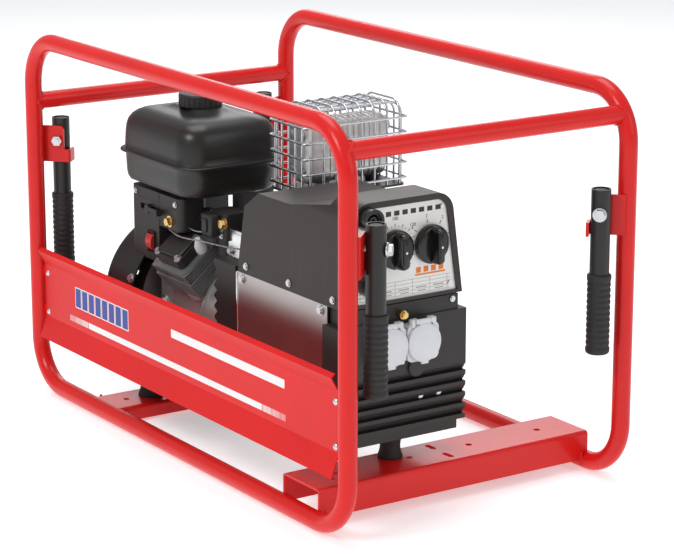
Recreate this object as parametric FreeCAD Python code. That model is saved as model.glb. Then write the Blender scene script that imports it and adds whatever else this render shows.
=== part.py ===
import math
import os
from FreeCAD import Vector
import Part

# Engine driven welder: a petrol engine and a welding alternator on one shaft line, carried
# in an open tube frame with four swing-out carrying handles.
# Frame of the part: millimetres, origin at the bottom centre, +Z up, +X towards the control
# panel, +Y towards the muffler side.

# ---- driving dimensions: tube frame ----
LOOP_LENGTH = 796.0          # loop centre line, along X
LOOP_HEIGHT = 500.0          # loop centre line, along Z
LOOP_SPACING = 424.0         # between the two loops' centre planes
TUBE_R = 12.0
TUBE_WALL = 2.0
BEND_R = 66.0
CROSS_LEFT_Z = 421.0
CROSS_RIGHT_Z = 483.0
DRAIN_HOLE_R = 3.0
WELD_GAP = 0.02
CUT = 1.0                    # how far a cutting tool runs past what it cuts
TOLERANCE = 0.01

# ---- crossmembers ----
SHEET = 3.0
LOW_MEMBER_X = -204.0
LOW_MEMBER_WIDTH = 72.0
LOW_MEMBER_TOP = 24.0
LOW_MEMBER_BOTTOM = 4.0
HIGH_MEMBER_X = 293.0
HIGH_MEMBER_WIDTH = 82.0
HIGH_MEMBER_TOP = 52.0
HIGH_MEMBER_BOTTOM = 14.0
MEMBER_BEND = 5.0
MEMBER_HOLE_R = 4.5
HIGH_HOLE_INNER_Y = 47.0
HIGH_HOLE_INSET = 54.0       # outer holes from the loops' centre planes
LOW_HOLE_INSET = 32.0
SLOT_LENGTH = 20.0
SLOT_WIDTH = 8.0
SLOT_SPACING = 38.0

# ---- side panel ----
PANEL_THICK = 1.5
PANEL_END_GAP = 8.0
PANEL_BOTTOM = 81.0
PANEL_LOW_BEND = 111.5
PANEL_HIGH_BEND = 188.5
PANEL_TOP = 208.0
PANEL_FLARE = 11.0
PANEL_HEM = 6.0
TAB_SIZE = 16.0
TAB_THICK = 3.0
RIVET_R = 2.4
RIVET_HEAD_R = 4.5
RIVET_HEIGHTS = (118.0, 175.0)
RIVET_INSET = 7.0
RIVET_TAIL = 1.5
HEM_RISE = 0.8               # hem height as a share of its depth

# ---- carrying handles ----
HANDLE_R = 12.5
HANDLE_WALL = 2.0
GRIP_SLEEVE = 3.0            # rubber round the tube
GRIP_END = 2.6               # rubber under the tube
GRIP_ROUND = 3.0
PIVOT_Z = 363.0
HANDLE_TOP_Z = 394.0
HANDLE_BOTTOM_Z = 180.0
GRIP_TOP_Z = 284.0
HANDLE_REACH = 30.0          # pivot from the post's centre, along the bracket plate
HANDLE_OFFSET = 28.0         # handle's centre from the post's centre, square to the plate
BRACKET_THICK = 4.0
BRACKET_GAP = 0.5
BRACKET_NOSE = 9.0           # plate beyond the pivot
BRACKET_CORNER = 7.0
LIP_GAP = 1.6                # handle to lip
LIP_REACH = 4.0              # lip beyond the handle's centre
BRACKET_TOP = 384.0
BRACKET_BOTTOM = 332.0
STOP_GAP = 0.5
PIVOT_BOLT_R = 4.0
PIVOT_CLEARANCE = 0.06
WASHER_R = 9.0
WASHER_THICK = 1.6
BOLT_HEAD_R = 7.5
BOLT_HEAD_HEIGHT = 5.3
NUT_HEIGHT = 6.5
THREAD_END = 1.5             # bolt beyond its nut
BOLT_SLACK = 0.1
CORNERS = (("front_left", -1, -1), ("front_right", 1, -1), ("back_left", -1, 1), ("back_right", 1, 1))

# ---- shaft line ----
AXIS_Y = -65.0
AXIS_Z = 160.0
SHAFT_R = 15.0
RUNNING_GAP = 0.06
SHAFT_START_X = -238.0
SHAFT_END_X = 258.0
FLYWHEEL_R = 84.0
FLYWHEEL_X = -232.0
FLYWHEEL_THICK = 24.0
FIN_REACH = 14.0             # flywheel fins, along the shaft
FIN_ROOT_R = 44.0
FIN_TIP_GAP = 3.0
BLADE_THICK = 3.0
ROTOR_R = 51.0
ROTOR_X = 78.0
ROTOR_LENGTH = 104.0
AIR_GAP = 1.0
STATOR_WALL = 20.0
STATOR_OVERHANG = 6.0
FAN_X = 204.0
FAN_R = 58.0
FAN_THICK = 20.0
FAN_DISC = 4.0
FAN_HUB = 8.0
FAN_BLADES = 12
FAN_BLADE_THICK = 2.4
ALTERNATOR_R = 84.0
ALTERNATOR_X = 22.0
ALTERNATOR_LENGTH = 222.0
END_BRACKET_THICK = 14.0
BEARING_R = 31.0
BEARING_WIDTH = 14.0
ARM_HALF_WIDTH = 24.0        # foot arm of the end bracket
ARM_THICK = 10.0
ARM_DROP = 12.0              # arm's top below the bearing

# ---- engine ----
ENGINE_BASE_Z = 54.0
ENGINE_BASE_THICK = 12.0
ENGINE_BASE_X = (-236.0, -60.0)
ENGINE_BASE_Y = (-158.0, 28.0)
ENGINE_BASE_CORNER = 14.0
CASE_X = (-192.0, -58.0)
CASE_HALF_WIDTH = 62.0
CASE_TOP = 226.0
CASE_CORNER = 16.0
MOUNT_R = 18.0
MOUNT_Y = (-140.0, 10.0)
MOUNT_HEAD_R = 8.0
MOUNT_HEAD_HEIGHT = 7.0
BELL_R = 80.0
BELL_WALL = 6.0
BLOWER_X = (-274.0, -194.0)
BLOWER_R = 112.0
BLOWER_WALL = 2.5
BLOWER_EDGE = 14.0
BLOWER_OPEN_Z = 76.0
RECOIL_R = 74.0
RECOIL_DEPTH = 22.0
RECOIL_EDGE = 8.0
RECOIL_WALL = 3.0
RECOIL_SLOTS = 8
RECOIL_SLOT_R = (30.0, 60.0)
RECOIL_SLOT_WIDTH = 6.0
STARTER_REACH = 24.0
STARTER_HALF = 24.0
STARTER_R = 7.0
STARTER_DROP = 18.0          # grip below the recoil cover's rim
CYLINDER_TILT = 50.0         # degrees above horizontal, leaning to -Y
CYLINDER_X = -104.0
CYLINDER_WIDTH = 92.0
CYLINDER_DEPTH = 72.0
CYLINDER_START = 46.0
FIN_START = 76.0
CYLINDER_END = 104.0
FIN_COUNT = 5
FIN_THICK = 2.4
DECK_GAP = 2.0
BARREL_R = 34.0
HEAD_THICK = 16.0
VALVE_COVER_THICK = 14.0
HEAD_INSET = 3.0
COVER_INSET = (13.0, 10.0)
BLOCK_CORNER = 9.0
FIN_CORNER = 0.8

# ---- fuel tank ----
TANK_X = (-256.0, -56.0)
TANK_Y = (-162.0, -4.0)
TANK_BOTTOM = 330.0
TANK_SEAM = 374.0
TANK_TOP = 440.0
TANK_CORNER = 34.0
TANK_EDGE = 20.0
SEAM_LIP = 4.0
SEAM_THICK = 4.0
CAP_R = 30.0
CAP_HEIGHT = 17.0
CAP_GAP = 0.4
NECK_R = 22.0
NECK_HEIGHT = 8.0
TANK_INSET = 3.0             # lower half inside the upper half
TANK_LOW_EDGE = 9.0
CAP_EDGE = 3.0
CAP_FLUTES = 24
FLUTE_R = 2.4
FLUTE_OUT = 1.2
CAP_X = -155.0
CAP_Y = -82.0

# ---- air cleaner, controls, carburettor ----
CLEANER_X = (-229.0, -95.0)
CLEANER_Y = (-152.0, -108.0)
CLEANER_Z = (228.0, 326.0)
LEVER_SLOT_Z = 300.0
LEVER_X = -176.0
LEVER_R = 6.0
LEVER_LENGTH = 34.0
LEVER_THICK = 3.0
LEVER_PIN_R = 3.0
LEVER_SLOT = (52.0, 8.0)
LEVER_KNOB_R = 4.0
CLEANER_CORNER = 10.0
CLEANER_SLOT_DEPTH = 5.0
CARB_X = (-60.0, -16.0)
CARB_Y = (-128.0, -92.0)
CARB_Z = (282.0, 318.0)
STOP_SWITCH_X = -172.0
STOP_SWITCH_Z = 254.0
SWITCH_HALF_X = 7.5
SWITCH_HALF_Z = 11.0
SWITCH_GAP = (0.5, 2.0)
CLEANER_STEP_Z = 281.0       # underside of the part that stands over the cylinder head
CARB_BOWL_R = 16.0
CARB_BOWL_DEPTH = 26.0
THROAT_R = 12.0
CARB_CORNER = 5.0
ROCKER_R = 16.0
ROCKER_DEPTH = 9.0           # rocker's centre behind the cover's face

# ---- muffler and guard ----
MUFFLER_X = (-21.0, 31.0)
MUFFLER_Y = (-27.0, 102.0)
MUFFLER_Z = (352.0, 440.0)
MUFFLER_CORNER = 18.0
GUARD_GAP = 15.0
GUARD_WIRE_R = 1.6
GUARD_BEND = 18.0
GUARD_HOOPS_X = 5
GUARD_HOOPS_Y = 8
GUARD_RINGS = 5
GUARD_BOTTOM = 344.0
EXHAUST_R = 14.0
TAIL_R = 10.0
TAIL_LENGTH = 12.0
PIPE_WALL = 2.0
MUFFLER_EDGE = 6.0
PIPE_BEND = 24.0
PIPE_START = (-76.0, -35.0)
PIPE_END_Y = 5.0
PIPE_BENDS_Z = (300.0, 322.0)
GUARD_INSET = 8.0            # outer hoops from the basket's sides
WIRE_GAP = 0.05

# ---- brackets under the tank and the muffler ----
TANK_BRACKET_X = (-186.0, -107.0)
TANK_BRACKET_Y = (-60.0, -22.0)
TRAY_THICK = 3.0
TRAY_EDGE = 2.0
TRAY_LEG_X = 26.0
TRAY_LEG_Y = (-30.0, 60.0)
TRAY_PADS_Y = (46.0, 86.0)
TRAY_PAD_WIDTH = 12.0
TRAY_CORNER = 8.0

# ---- control housing ----
FACE_X = 303.0
HOUSING_BACK_X = 58.0
HOUSING_Y = (-156.0, 26.0)
HOUSING_THICK = 1.5
HOUSING_BOTTOM = 96.0
HOUSING_TOP = 262.0
HOOD_TOP = 394.0
HOOD_REAR_TOP = 369.0
HOOD_REAR_LOW = 347.0
HOOD_CHAMFER_X = 88.0
HOOD_FLAT_X = 161.0
HOOD_STEP_Z = 384.0
HOOD_BOX_X = 247.0
HOOD_TAPER = 18.0            # how far each side leans in from the bottom to the top
HOOD_CORNER = 26.0
HOOD_THICK = 2.0
PLATE_THICK = 2.0
PLATE_RECESS = 3.0
BEZEL_WIDTH = 8.0
BEZEL_DEPTH = 12.0
BEZEL_BOTTOM = 4.0
END_CAP_DEPTH = 34.0
END_CAP_Y = (-163.0, 33.0)
END_CAP_Z = (94.0, 240.0)
END_CAP_WALL = 4.0
LOUVRE_COUNT = 5
LOUVRE_PITCH = 14.5
LOUVRE_DEPTH = 7.0
LOUVRE_FIRST_Z = 100.0
LOUVRE_LIP = 5.0
CAP_SHOULDER = 12.0          # upper field inside the louvred part
CAP_SHOULDER_DROP = 2.0
LOUVRE_BLOCK = ((2.0, 56.0), (-158.0, -134.0), (100.0, 268.0))
COMB_LIP = 2.5
FOOT_X = 276.0
FOOT_R = 16.0
FOOT_HEIGHT = 32.0

# ---- sockets and knobs on the panel ----
KNOB_R = 25.0
KNOB_BASE = 9.0
KNOB_GRIP_HEIGHT = 17.0
KNOB_GRIP_WIDTH = 11.0
KNOB_SHAFT_R = 3.0
KNOB_GAP = 0.5
KNOB_EDGE = 3.0
KNOB_TIP = 7.0
CURRENT_KNOB = (-76.0, 330.0)
RANGE_KNOB = (-22.0, 330.0)
WELD_SOCKET_R = 15.0
WELD_SOCKET_LENGTH = 18.0
WELD_SOCKET_BORE_R = 6.5
WELD_SOCKET_WALL = 4.0
WELD_SOCKETS = ((-119.0, 374.0), (-119.0, 292.0))
OUTLET_MIDDLE_Y = -69.0
OUTLET_PITCH_GAP = 2.0       # between the two bases
OUTLET_Z = 210.0
OUTLET_SIZE = 48.0
OUTLET_BASE = 14.0
OUTLET_CORNER = 8.0
OUTLET_FLOOR = 2.0
INSERT_SHRINK = 8.0          # insert inside the well
INSERT_BACK = 16.0
INSERT_FRONT = 5.0
LUG_WIDTH = 4.0
LUG_DEPTH = 5.0
OUTLET_WELL_WALL = 4.5       # base round the well
CONTACT_R = 2.4
CONTACT_OFFSET = 6.0
LID_RIM = 1.0                # lid beyond its base
LID_EDGE = 2.4
LID_THICK = 5.0
LID_GAP = 0.4
LID_HINGE_R = 3.0
HINGE_PIN_R = 1.5
HINGE_SLACK = 0.25
LUG_OFFSET = 11.0
EARTH_POINT = (-69.0, 247.0)
EARTH_FLANGE_R = 5.5
EARTH_R = 3.0
PIN_REACH = 5.0              # shafts and pins behind the panel's sheet

HALF_L = LOOP_LENGTH / 2
GRIP_R = HANDLE_R + GRIP_SLEEVE
OUTLET_WELL_R = OUTLET_SIZE / 2 - OUTLET_WELL_WALL
LID_R = OUTLET_SIZE / 2 + LID_RIM
OUTLET_Y = (OUTLET_MIDDLE_Y - (OUTLET_SIZE + OUTLET_PITCH_GAP) / 2,
            OUTLET_MIDDLE_Y + (OUTLET_SIZE + OUTLET_PITCH_GAP) / 2)
HALF_W = LOOP_SPACING / 2
HIGH_HOLES_Y = (HIGH_HOLE_INNER_Y, HALF_W - HIGH_HOLE_INSET)
LOW_HOLE_Y = HALF_W - LOW_HOLE_INSET
LOOP_LOW = TUBE_R
LOOP_HIGH = TUBE_R + LOOP_HEIGHT
PIECES = {}


def keep(name, shape):
    PIECES[name] = shape


def box(x, y, z):
    """Box between the two ends of each range."""
    return Part.makeBox(x[1] - x[0], y[1] - y[0], z[1] - z[0], Vector(x[0], y[0], z[0]))


def rod_x(x0, x1, y, z, r):
    return Part.makeCylinder(r, x1 - x0, Vector(x0, y, z), Vector(1, 0, 0))


def rod_y(x, y0, y1, z, r):
    return Part.makeCylinder(r, y1 - y0, Vector(x, y0, z), Vector(0, 1, 0))


def rod_z(x, y, z0, z1, r):
    return Part.makeCylinder(r, z1 - z0, Vector(x, y, z0), Vector(0, 0, 1))


def ring_x(x0, x1, y, z, r, bore):
    return rod_x(x0, x1, y, z, r).cut(rod_x(x0 - 1, x1 + 1, y, z, bore))


def edges_along(shape, direction):
    """Straight edges of a shape that run along one axis."""
    found = []
    for edge in shape.Edges:
        ends = edge.Vertexes
        if len(ends) == 2:
            run = ends[1].Point.sub(ends[0].Point)
            if run.Length > 1e-6 and run.cross(direction).Length < 1e-6 * run.Length:
                found.append(edge)
    return found


def rounded_box(x, y, z, corner, direction=Vector(0, 0, 1), edge=0.0):
    """Box with rounded corners about one axis, and softened ends."""
    body = box(x, y, z)
    body = body.makeFillet(corner, edges_along(body, direction))
    if edge:
        caps = [f for f in body.Faces if abs(abs(f.normalAt(0, 0).dot(direction)) - 1) < 1e-6]
        rims = [e for f in caps for e in f.Edges]
        body = body.makeFillet(edge, rims)
    return body


def rounded_path(points, bend, closed=False):
    """Wire through the points, with each corner rounded."""
    count = len(points)
    parts = []
    starts = {}
    ends = {}
    for i in range(count):
        if not closed and i in (0, count - 1):
            starts[i] = points[i]
            ends[i] = points[i]
            continue
        here = points[i]
        back = points[i - 1].sub(here).normalize()
        ahead = points[(i + 1) % count].sub(here).normalize()
        half = back.getAngle(ahead) / 2
        cut = bend / math.tan(half)
        middle = (back + ahead).normalize() * (bend / math.sin(half) - bend)
        starts[i] = here + back * cut
        ends[i] = here + ahead * cut
        parts.append((i, Part.Arc(starts[i], here + middle, ends[i]).toShape()))
    arcs = dict(parts)
    edges = []
    for i in range(count if closed else count - 1):
        if i in arcs:
            edges.append(arcs[i])
        after = (i + 1) % count
        edges.append(Part.LineSegment(ends[i], starts[after]).toShape())
    return Part.Wire(Part.__sortEdges__(edges))


def swept_rod(path, radius):
    """Round bar along a wire."""
    edge = path.OrderedEdges[0]
    start = edge.valueAt(edge.FirstParameter)
    along = edge.tangentAt(edge.FirstParameter)
    circle = Part.Wire([Part.makeCircle(radius, start, along)])
    return path.makePipeShell([circle], True, True)


def ribbon(points, thick):
    """Closed outline of a sheet that follows the points, in the YZ plane, thickened to +Y."""
    offset = []
    for i, (y, z) in enumerate(points):
        normals = []
        for j in (i - 1, i):
            if 0 <= j < len(points) - 1:
                dy = points[j + 1][0] - points[j][0]
                dz = points[j + 1][1] - points[j][1]
                size = math.hypot(dy, dz)
                normals.append((dz / size, -dy / size))
        ny = sum(n[0] for n in normals)
        nz = sum(n[1] for n in normals)
        size = math.hypot(ny, nz)
        ny, nz = ny / size, nz / size
        reach = thick / (ny * normals[0][0] + nz * normals[0][1])
        offset.append((y + ny * reach, z + nz * reach))
    outline = [Vector(0, y, z) for y, z in list(points) + offset[::-1]]
    return Part.Face(Part.makePolygon(outline + outline[:1]))


# ---- tube frame ----

def loop_rod(y, radius):
    corners = [Vector(-HALF_L, y, LOOP_LOW), Vector(HALF_L, y, LOOP_LOW),
               Vector(HALF_L, y, LOOP_HIGH), Vector(-HALF_L, y, LOOP_HIGH)]
    return swept_rod(rounded_path(corners, BEND_R, closed=True), radius)


def loop_tube(y):
    outer = loop_rod(y, TUBE_R)
    inner = loop_rod(y, TUBE_R - TUBE_WALL)
    drain = rod_z(0, y, -CUT, LOOP_LOW, DRAIN_HOLE_R)
    return outer.cut(inner).cut(drain)


def cross_tube(z, side, loops):
    """Tube between the loops, coped onto them; it follows the bend above its start."""
    above = z - (LOOP_HIGH - BEND_R)
    x = HALF_L
    if above > 0:
        x = HALF_L - BEND_R + math.sqrt(BEND_R ** 2 - above ** 2)
    x = side * x
    tube = rod_y(x, -HALF_W, HALF_W, z, TUBE_R).cut(rod_y(x, -HALF_W, HALF_W, z, TUBE_R - TUBE_WALL))
    for loop in loops:
        tube = tube.cut(loop)
    return max(tube.Solids, key=lambda s: s.Volume)


def crossmember(x, width, low, high, loops):
    """Inverted U channel, coped onto the two bottom tubes."""
    span = (-HALF_W + CUT, HALF_W - CUT)
    outer = box((x - width / 2, x + width / 2), span, (low, high))
    rims = [e for e in edges_along(outer, Vector(0, 1, 0)) if abs(e.CenterOfMass.z - high) < TOLERANCE]
    outer = outer.makeFillet(MEMBER_BEND, rims)
    inner = box((x - width / 2 + SHEET, x + width / 2 - SHEET), (span[0] - CUT, span[1] + CUT),
                (low - CUT, high - SHEET))
    channel = outer.cut(inner)
    for loop in loops:
        channel = channel.cut(loop)
    return max(channel.Solids, key=lambda s: s.Volume)


def slot_cutter(x, y, z0, z1):
    half = (SLOT_LENGTH - SLOT_WIDTH) / 2
    middle = box((x - half, x + half), (y - SLOT_WIDTH / 2, y + SLOT_WIDTH / 2), (z0, z1))
    for end in (-half, half):
        middle = middle.fuse(rod_z(x + end, y, z0, z1, SLOT_WIDTH / 2))
    return middle


def tube_frame():
    loops = [loop_rod(-HALF_W, TUBE_R + WELD_GAP), loop_rod(HALF_W, TUBE_R + WELD_GAP)]
    keep("front_loop", loop_tube(-HALF_W))
    keep("back_loop", loop_tube(HALF_W))
    keep("cross_tubes", Part.makeCompound([cross_tube(CROSS_LEFT_Z, -1, loops),
                                           cross_tube(CROSS_RIGHT_Z, 1, loops)]))
    low = crossmember(LOW_MEMBER_X, LOW_MEMBER_WIDTH, LOW_MEMBER_BOTTOM, LOW_MEMBER_TOP, loops)
    for y in (-LOW_HOLE_Y, LOW_HOLE_Y) + MOUNT_Y:
        low = low.cut(rod_z(LOW_MEMBER_X, y, 0, LOW_MEMBER_TOP + CUT, MEMBER_HOLE_R))
    keep("engine_crossmember", low)
    high = crossmember(HIGH_MEMBER_X, HIGH_MEMBER_WIDTH, HIGH_MEMBER_BOTTOM, HIGH_MEMBER_TOP, loops)
    for y in HIGH_HOLES_Y:
        for side in (-1, 1):
            high = high.cut(rod_z(HIGH_MEMBER_X, side * y, 0, HIGH_MEMBER_TOP + CUT, MEMBER_HOLE_R))
    for side in (-1, 1):
        x = HIGH_MEMBER_X + side * SLOT_SPACING / 2
        high = high.cut(slot_cutter(x, 0, HIGH_MEMBER_TOP - SHEET - CUT, HIGH_MEMBER_TOP + CUT))
    high = high.cut(rod_z(FOOT_X, AXIS_Y, 0, HIGH_MEMBER_TOP + CUT, MEMBER_HOLE_R))
    keep("alternator_crossmember", high)


# ---- side panel ----

def side_panel():
    face_y = -HALF_W
    flare_y = face_y - PANEL_FLARE
    half = HALF_L - TUBE_R - PANEL_END_GAP
    profile = [(flare_y + PANEL_HEM, PANEL_BOTTOM - PANEL_THICK), (flare_y, PANEL_BOTTOM),
               (face_y, PANEL_LOW_BEND), (face_y, PANEL_HIGH_BEND), (flare_y, PANEL_TOP),
               (flare_y + PANEL_HEM, PANEL_TOP + PANEL_HEM * HEM_RISE)]
    panel = ribbon(profile, PANEL_THICK).extrude(Vector(2 * half, 0, 0))
    panel.translate(Vector(-half, 0, 0))
    tabs = []
    rivets = []
    back_y = face_y + PANEL_THICK
    for side in (-1, 1):
        x = side * (half - RIVET_INSET)
        for z in RIVET_HEIGHTS:
            reach = sorted((side * (half - RIVET_INSET - TAB_SIZE / 2), side * (HALF_L - TUBE_WALL)))
            tab = box(reach, (back_y, back_y + TAB_THICK), (z - TAB_SIZE / 2, z + TAB_SIZE / 2))
            tab = tab.cut(rod_z(side * HALF_L, face_y, 0, LOOP_HIGH, TUBE_R + WELD_GAP))
            hole = rod_y(x, face_y - CUT, back_y + TAB_THICK + CUT, z, RIVET_R + BOLT_SLACK)
            panel = panel.cut(hole)
            tabs.append(tab.cut(hole))
            shank = rod_y(x, face_y, back_y + TAB_THICK + RIVET_TAIL, z, RIVET_R)
            dome = Part.makeSphere(RIVET_HEAD_R * 1.25, Vector(x, face_y + RIVET_HEAD_R * 0.75, z))
            dome = dome.common(rod_y(x, face_y - RIVET_HEAD_R, face_y, z, RIVET_HEAD_R))
            tail = rod_y(x, back_y + TAB_THICK, back_y + TAB_THICK + RIVET_TAIL, z, RIVET_HEAD_R * 0.75)
            rivets.append(shank.fuse(dome).fuse(tail))
    keep("side_panel", panel)
    keep("panel_tabs", Part.makeCompound(tabs))
    keep("panel_rivets", Part.makeCompound(rivets))


# ---- carrying handles ----

def corner_place(shape, sx, sy):
    """Move a shape from bracket axes (X along the plate, Y towards the handle) to a corner."""
    placed = shape.copy()
    if sx * sy < 0:
        placed = shape.mirror(Vector(0, 0, 0), Vector(0, 1, 0))
    placed.rotate(Vector(0, 0, 0), Vector(0, 0, 1), math.degrees(math.atan2(-sy, -sx)))
    placed.translate(Vector(sx * HALF_L, sy * HALF_W, 0))
    return placed


def pivot_hole(radius):
    return Part.makeCylinder(radius, 4 * HANDLE_OFFSET, Vector(HANDLE_REACH, -HANDLE_OFFSET, PIVOT_Z),
                             Vector(0, 1, 0))


def handle_bracket():
    """Plate with a J-shaped lower lip; the lip's top edge stops the handle when it is level."""
    outer = HANDLE_OFFSET - HANDLE_R - BRACKET_GAP
    inner = outer - BRACKET_THICK
    lip_x = HANDLE_REACH + HANDLE_R + LIP_GAP
    lip_top = PIVOT_Z - HANDLE_R - STOP_GAP
    lip_out = HANDLE_OFFSET + LIP_REACH
    plate = box((0, HANDLE_REACH + BRACKET_NOSE), (inner, outer), (BRACKET_BOTTOM, BRACKET_TOP))
    plate = plate.fuse(box((0, lip_x + BRACKET_THICK), (inner, outer), (BRACKET_BOTTOM, lip_top)))
    lip = box((lip_x, lip_x + BRACKET_THICK), (inner, lip_out), (BRACKET_BOTTOM, lip_top))
    bracket = plate.fuse(lip).removeSplitter()
    bend = [e for e in edges_along(bracket, Vector(0, 0, 1))
            if abs(e.CenterOfMass.x - lip_x - BRACKET_THICK) < TOLERANCE and e.CenterOfMass.y < outer]
    bracket = bracket.makeFillet(BRACKET_THICK * 0.9, bend)
    top = [e for e in edges_along(bracket, Vector(0, 1, 0))
           if e.CenterOfMass.z > BRACKET_TOP - TOLERANCE and e.CenterOfMass.x > HANDLE_REACH]
    bracket = bracket.makeFillet(BRACKET_CORNER, top)
    post = rod_z(0, 0, 0, LOOP_HIGH, TUBE_R + WELD_GAP)
    bracket = bracket.cut(post).cut(pivot_hole(PIVOT_BOLT_R + BOLT_SLACK))
    return max(bracket.Solids, key=lambda s: s.Volume)


def pivot_bolt():
    """Hex bolt, washer and lock nut; the handle turns on its shank."""
    plate_back = HANDLE_OFFSET - HANDLE_R - BRACKET_GAP - BRACKET_THICK
    washer_y = HANDLE_OFFSET + HANDLE_R + BRACKET_GAP
    head_y = washer_y + WASHER_THICK
    start = plate_back - NUT_HEIGHT - THREAD_END
    x, z = HANDLE_REACH, PIVOT_Z
    bolt = rod_y(x, start, head_y, z, PIVOT_BOLT_R)
    bolt = bolt.fuse(rod_y(x, washer_y, head_y, z, WASHER_R))
    for y0, height in ((head_y, BOLT_HEAD_HEIGHT), (plate_back - NUT_HEIGHT, NUT_HEIGHT)):
        corners = [Vector(x + BOLT_HEAD_R * math.cos(k * math.pi / 3), y0,
                          z + BOLT_HEAD_R * math.sin(k * math.pi / 3)) for k in range(7)]
        bolt = bolt.fuse(Part.Face(Part.makePolygon(corners)).extrude(Vector(0, height, 0)))
    return bolt.removeSplitter()


def handle_tube():
    x, y = HANDLE_REACH, HANDLE_OFFSET
    tube = rod_z(x, y, HANDLE_BOTTOM_Z + GRIP_END, HANDLE_TOP_Z, HANDLE_R)
    tube = tube.cut(rod_z(x, y, HANDLE_BOTTOM_Z, HANDLE_TOP_Z + CUT, HANDLE_R - HANDLE_WALL))
    return tube.cut(pivot_hole(PIVOT_BOLT_R + PIVOT_CLEARANCE))


def handle_grip():
    """Rubber sleeve with a closed, rounded end."""
    x, y = HANDLE_REACH, HANDLE_OFFSET
    sleeve = rod_z(x, y, HANDLE_BOTTOM_Z, GRIP_TOP_Z, GRIP_R)
    low_rim = [e for e in sleeve.Edges if e.CenterOfMass.z < HANDLE_BOTTOM_Z + TOLERANCE
               and len(e.Vertexes) == 1]
    sleeve = sleeve.makeFillet(GRIP_ROUND, low_rim)
    bore = rod_z(x, y, HANDLE_BOTTOM_Z + GRIP_END, GRIP_TOP_Z + CUT, HANDLE_R)
    return sleeve.cut(bore)


def carrying_handles():
    brackets = []
    bolts = []
    for name, sx, sy in CORNERS:
        brackets.append(corner_place(handle_bracket(), sx, sy))
        bolts.append(corner_place(pivot_bolt(), sx, sy))
        keep("handle_tube_" + name, corner_place(handle_tube(), sx, sy))
        keep("handle_grip_" + name, corner_place(handle_grip(), sx, sy))
    keep("handle_brackets", Part.makeCompound(brackets))
    keep("pivot_bolts", Part.makeCompound(bolts))


# ---- shaft line: crankshaft, flywheel, alternator ----

def blade_turns():
    return [360.0 * k / FAN_BLADES for k in range(FAN_BLADES)]


def shaft_line():
    y, z = AXIS_Y, AXIS_Z
    keep("drive_shaft", rod_x(SHAFT_START_X, SHAFT_END_X, y, z, SHAFT_R))
    flywheel = ring_x(FLYWHEEL_X, FLYWHEEL_X + FLYWHEEL_THICK, y, z, FLYWHEEL_R, SHAFT_R)
    for turn in blade_turns():
        blade = box((FLYWHEEL_X - FIN_REACH, FLYWHEEL_X), (y + FIN_ROOT_R, y + FLYWHEEL_R - FIN_TIP_GAP),
                    (z - BLADE_THICK / 2, z + BLADE_THICK / 2))
        blade.rotate(Vector(0, y, z), Vector(1, 0, 0), turn)
        flywheel = flywheel.fuse(blade)
    keep("flywheel", flywheel)
    keep("alternator_rotor", ring_x(ROTOR_X, ROTOR_X + ROTOR_LENGTH, y, z, ROTOR_R, SHAFT_R))
    fan = ring_x(FAN_X, FAN_X + FAN_DISC, y, z, FAN_R, SHAFT_R)
    fan = fan.fuse(ring_x(FAN_X, FAN_X + FAN_THICK, y, z, SHAFT_R + FAN_HUB, SHAFT_R))
    for turn in blade_turns():
        blade = box((FAN_X, FAN_X + FAN_THICK), (y + SHAFT_R + FAN_HUB / 2, y + FAN_R - CUT),
                    (z - FAN_BLADE_THICK / 2, z + FAN_BLADE_THICK / 2))
        blade.rotate(Vector(0, y, z), Vector(1, 0, 0), turn)
        fan = fan.fuse(blade)
    keep("cooling_fan", fan)


def alternator():
    y, z = AXIS_Y, AXIS_Z
    end_x = ALTERNATOR_X + ALTERNATOR_LENGTH
    bore = ROTOR_R + AIR_GAP
    frame = ring_x(ALTERNATOR_X, end_x, y, z, ALTERNATOR_R, bore + STATOR_WALL)
    keep("alternator_frame", frame)
    keep("stator_pack", ring_x(ROTOR_X - STATOR_OVERHANG, ROTOR_X + ROTOR_LENGTH + STATOR_OVERHANG,
                               y, z, bore + STATOR_WALL, bore))
    bracket = ring_x(end_x, end_x + END_BRACKET_THICK, y, z, ALTERNATOR_R, BEARING_R)
    arm = box((end_x, FOOT_X + FOOT_R), (y - ARM_HALF_WIDTH, y + ARM_HALF_WIDTH),
              (HIGH_MEMBER_TOP + FOOT_HEIGHT, z - BEARING_R - ARM_DROP))
    cut_away = box((end_x + END_BRACKET_THICK, FOOT_X + FOOT_R + CUT),
                   (y - ARM_HALF_WIDTH - CUT, y + ARM_HALF_WIDTH + CUT),
                   (HIGH_MEMBER_TOP + FOOT_HEIGHT + ARM_THICK, z))
    keep("end_bracket", bracket.fuse(arm.cut(cut_away)).removeSplitter())
    keep("shaft_bearing", ring_x(end_x, end_x + BEARING_WIDTH, y, z, BEARING_R, SHAFT_R + RUNNING_GAP))
    keep("bell_housing", ring_x(CASE_X[1], ALTERNATOR_X, y, z, BELL_R, BELL_R - BELL_WALL)
         .fuse(ring_x(CASE_X[1], CASE_X[1] + BELL_WALL, y, z, BELL_R, SHAFT_R + BELL_WALL)))


# ---- engine ----

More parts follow.
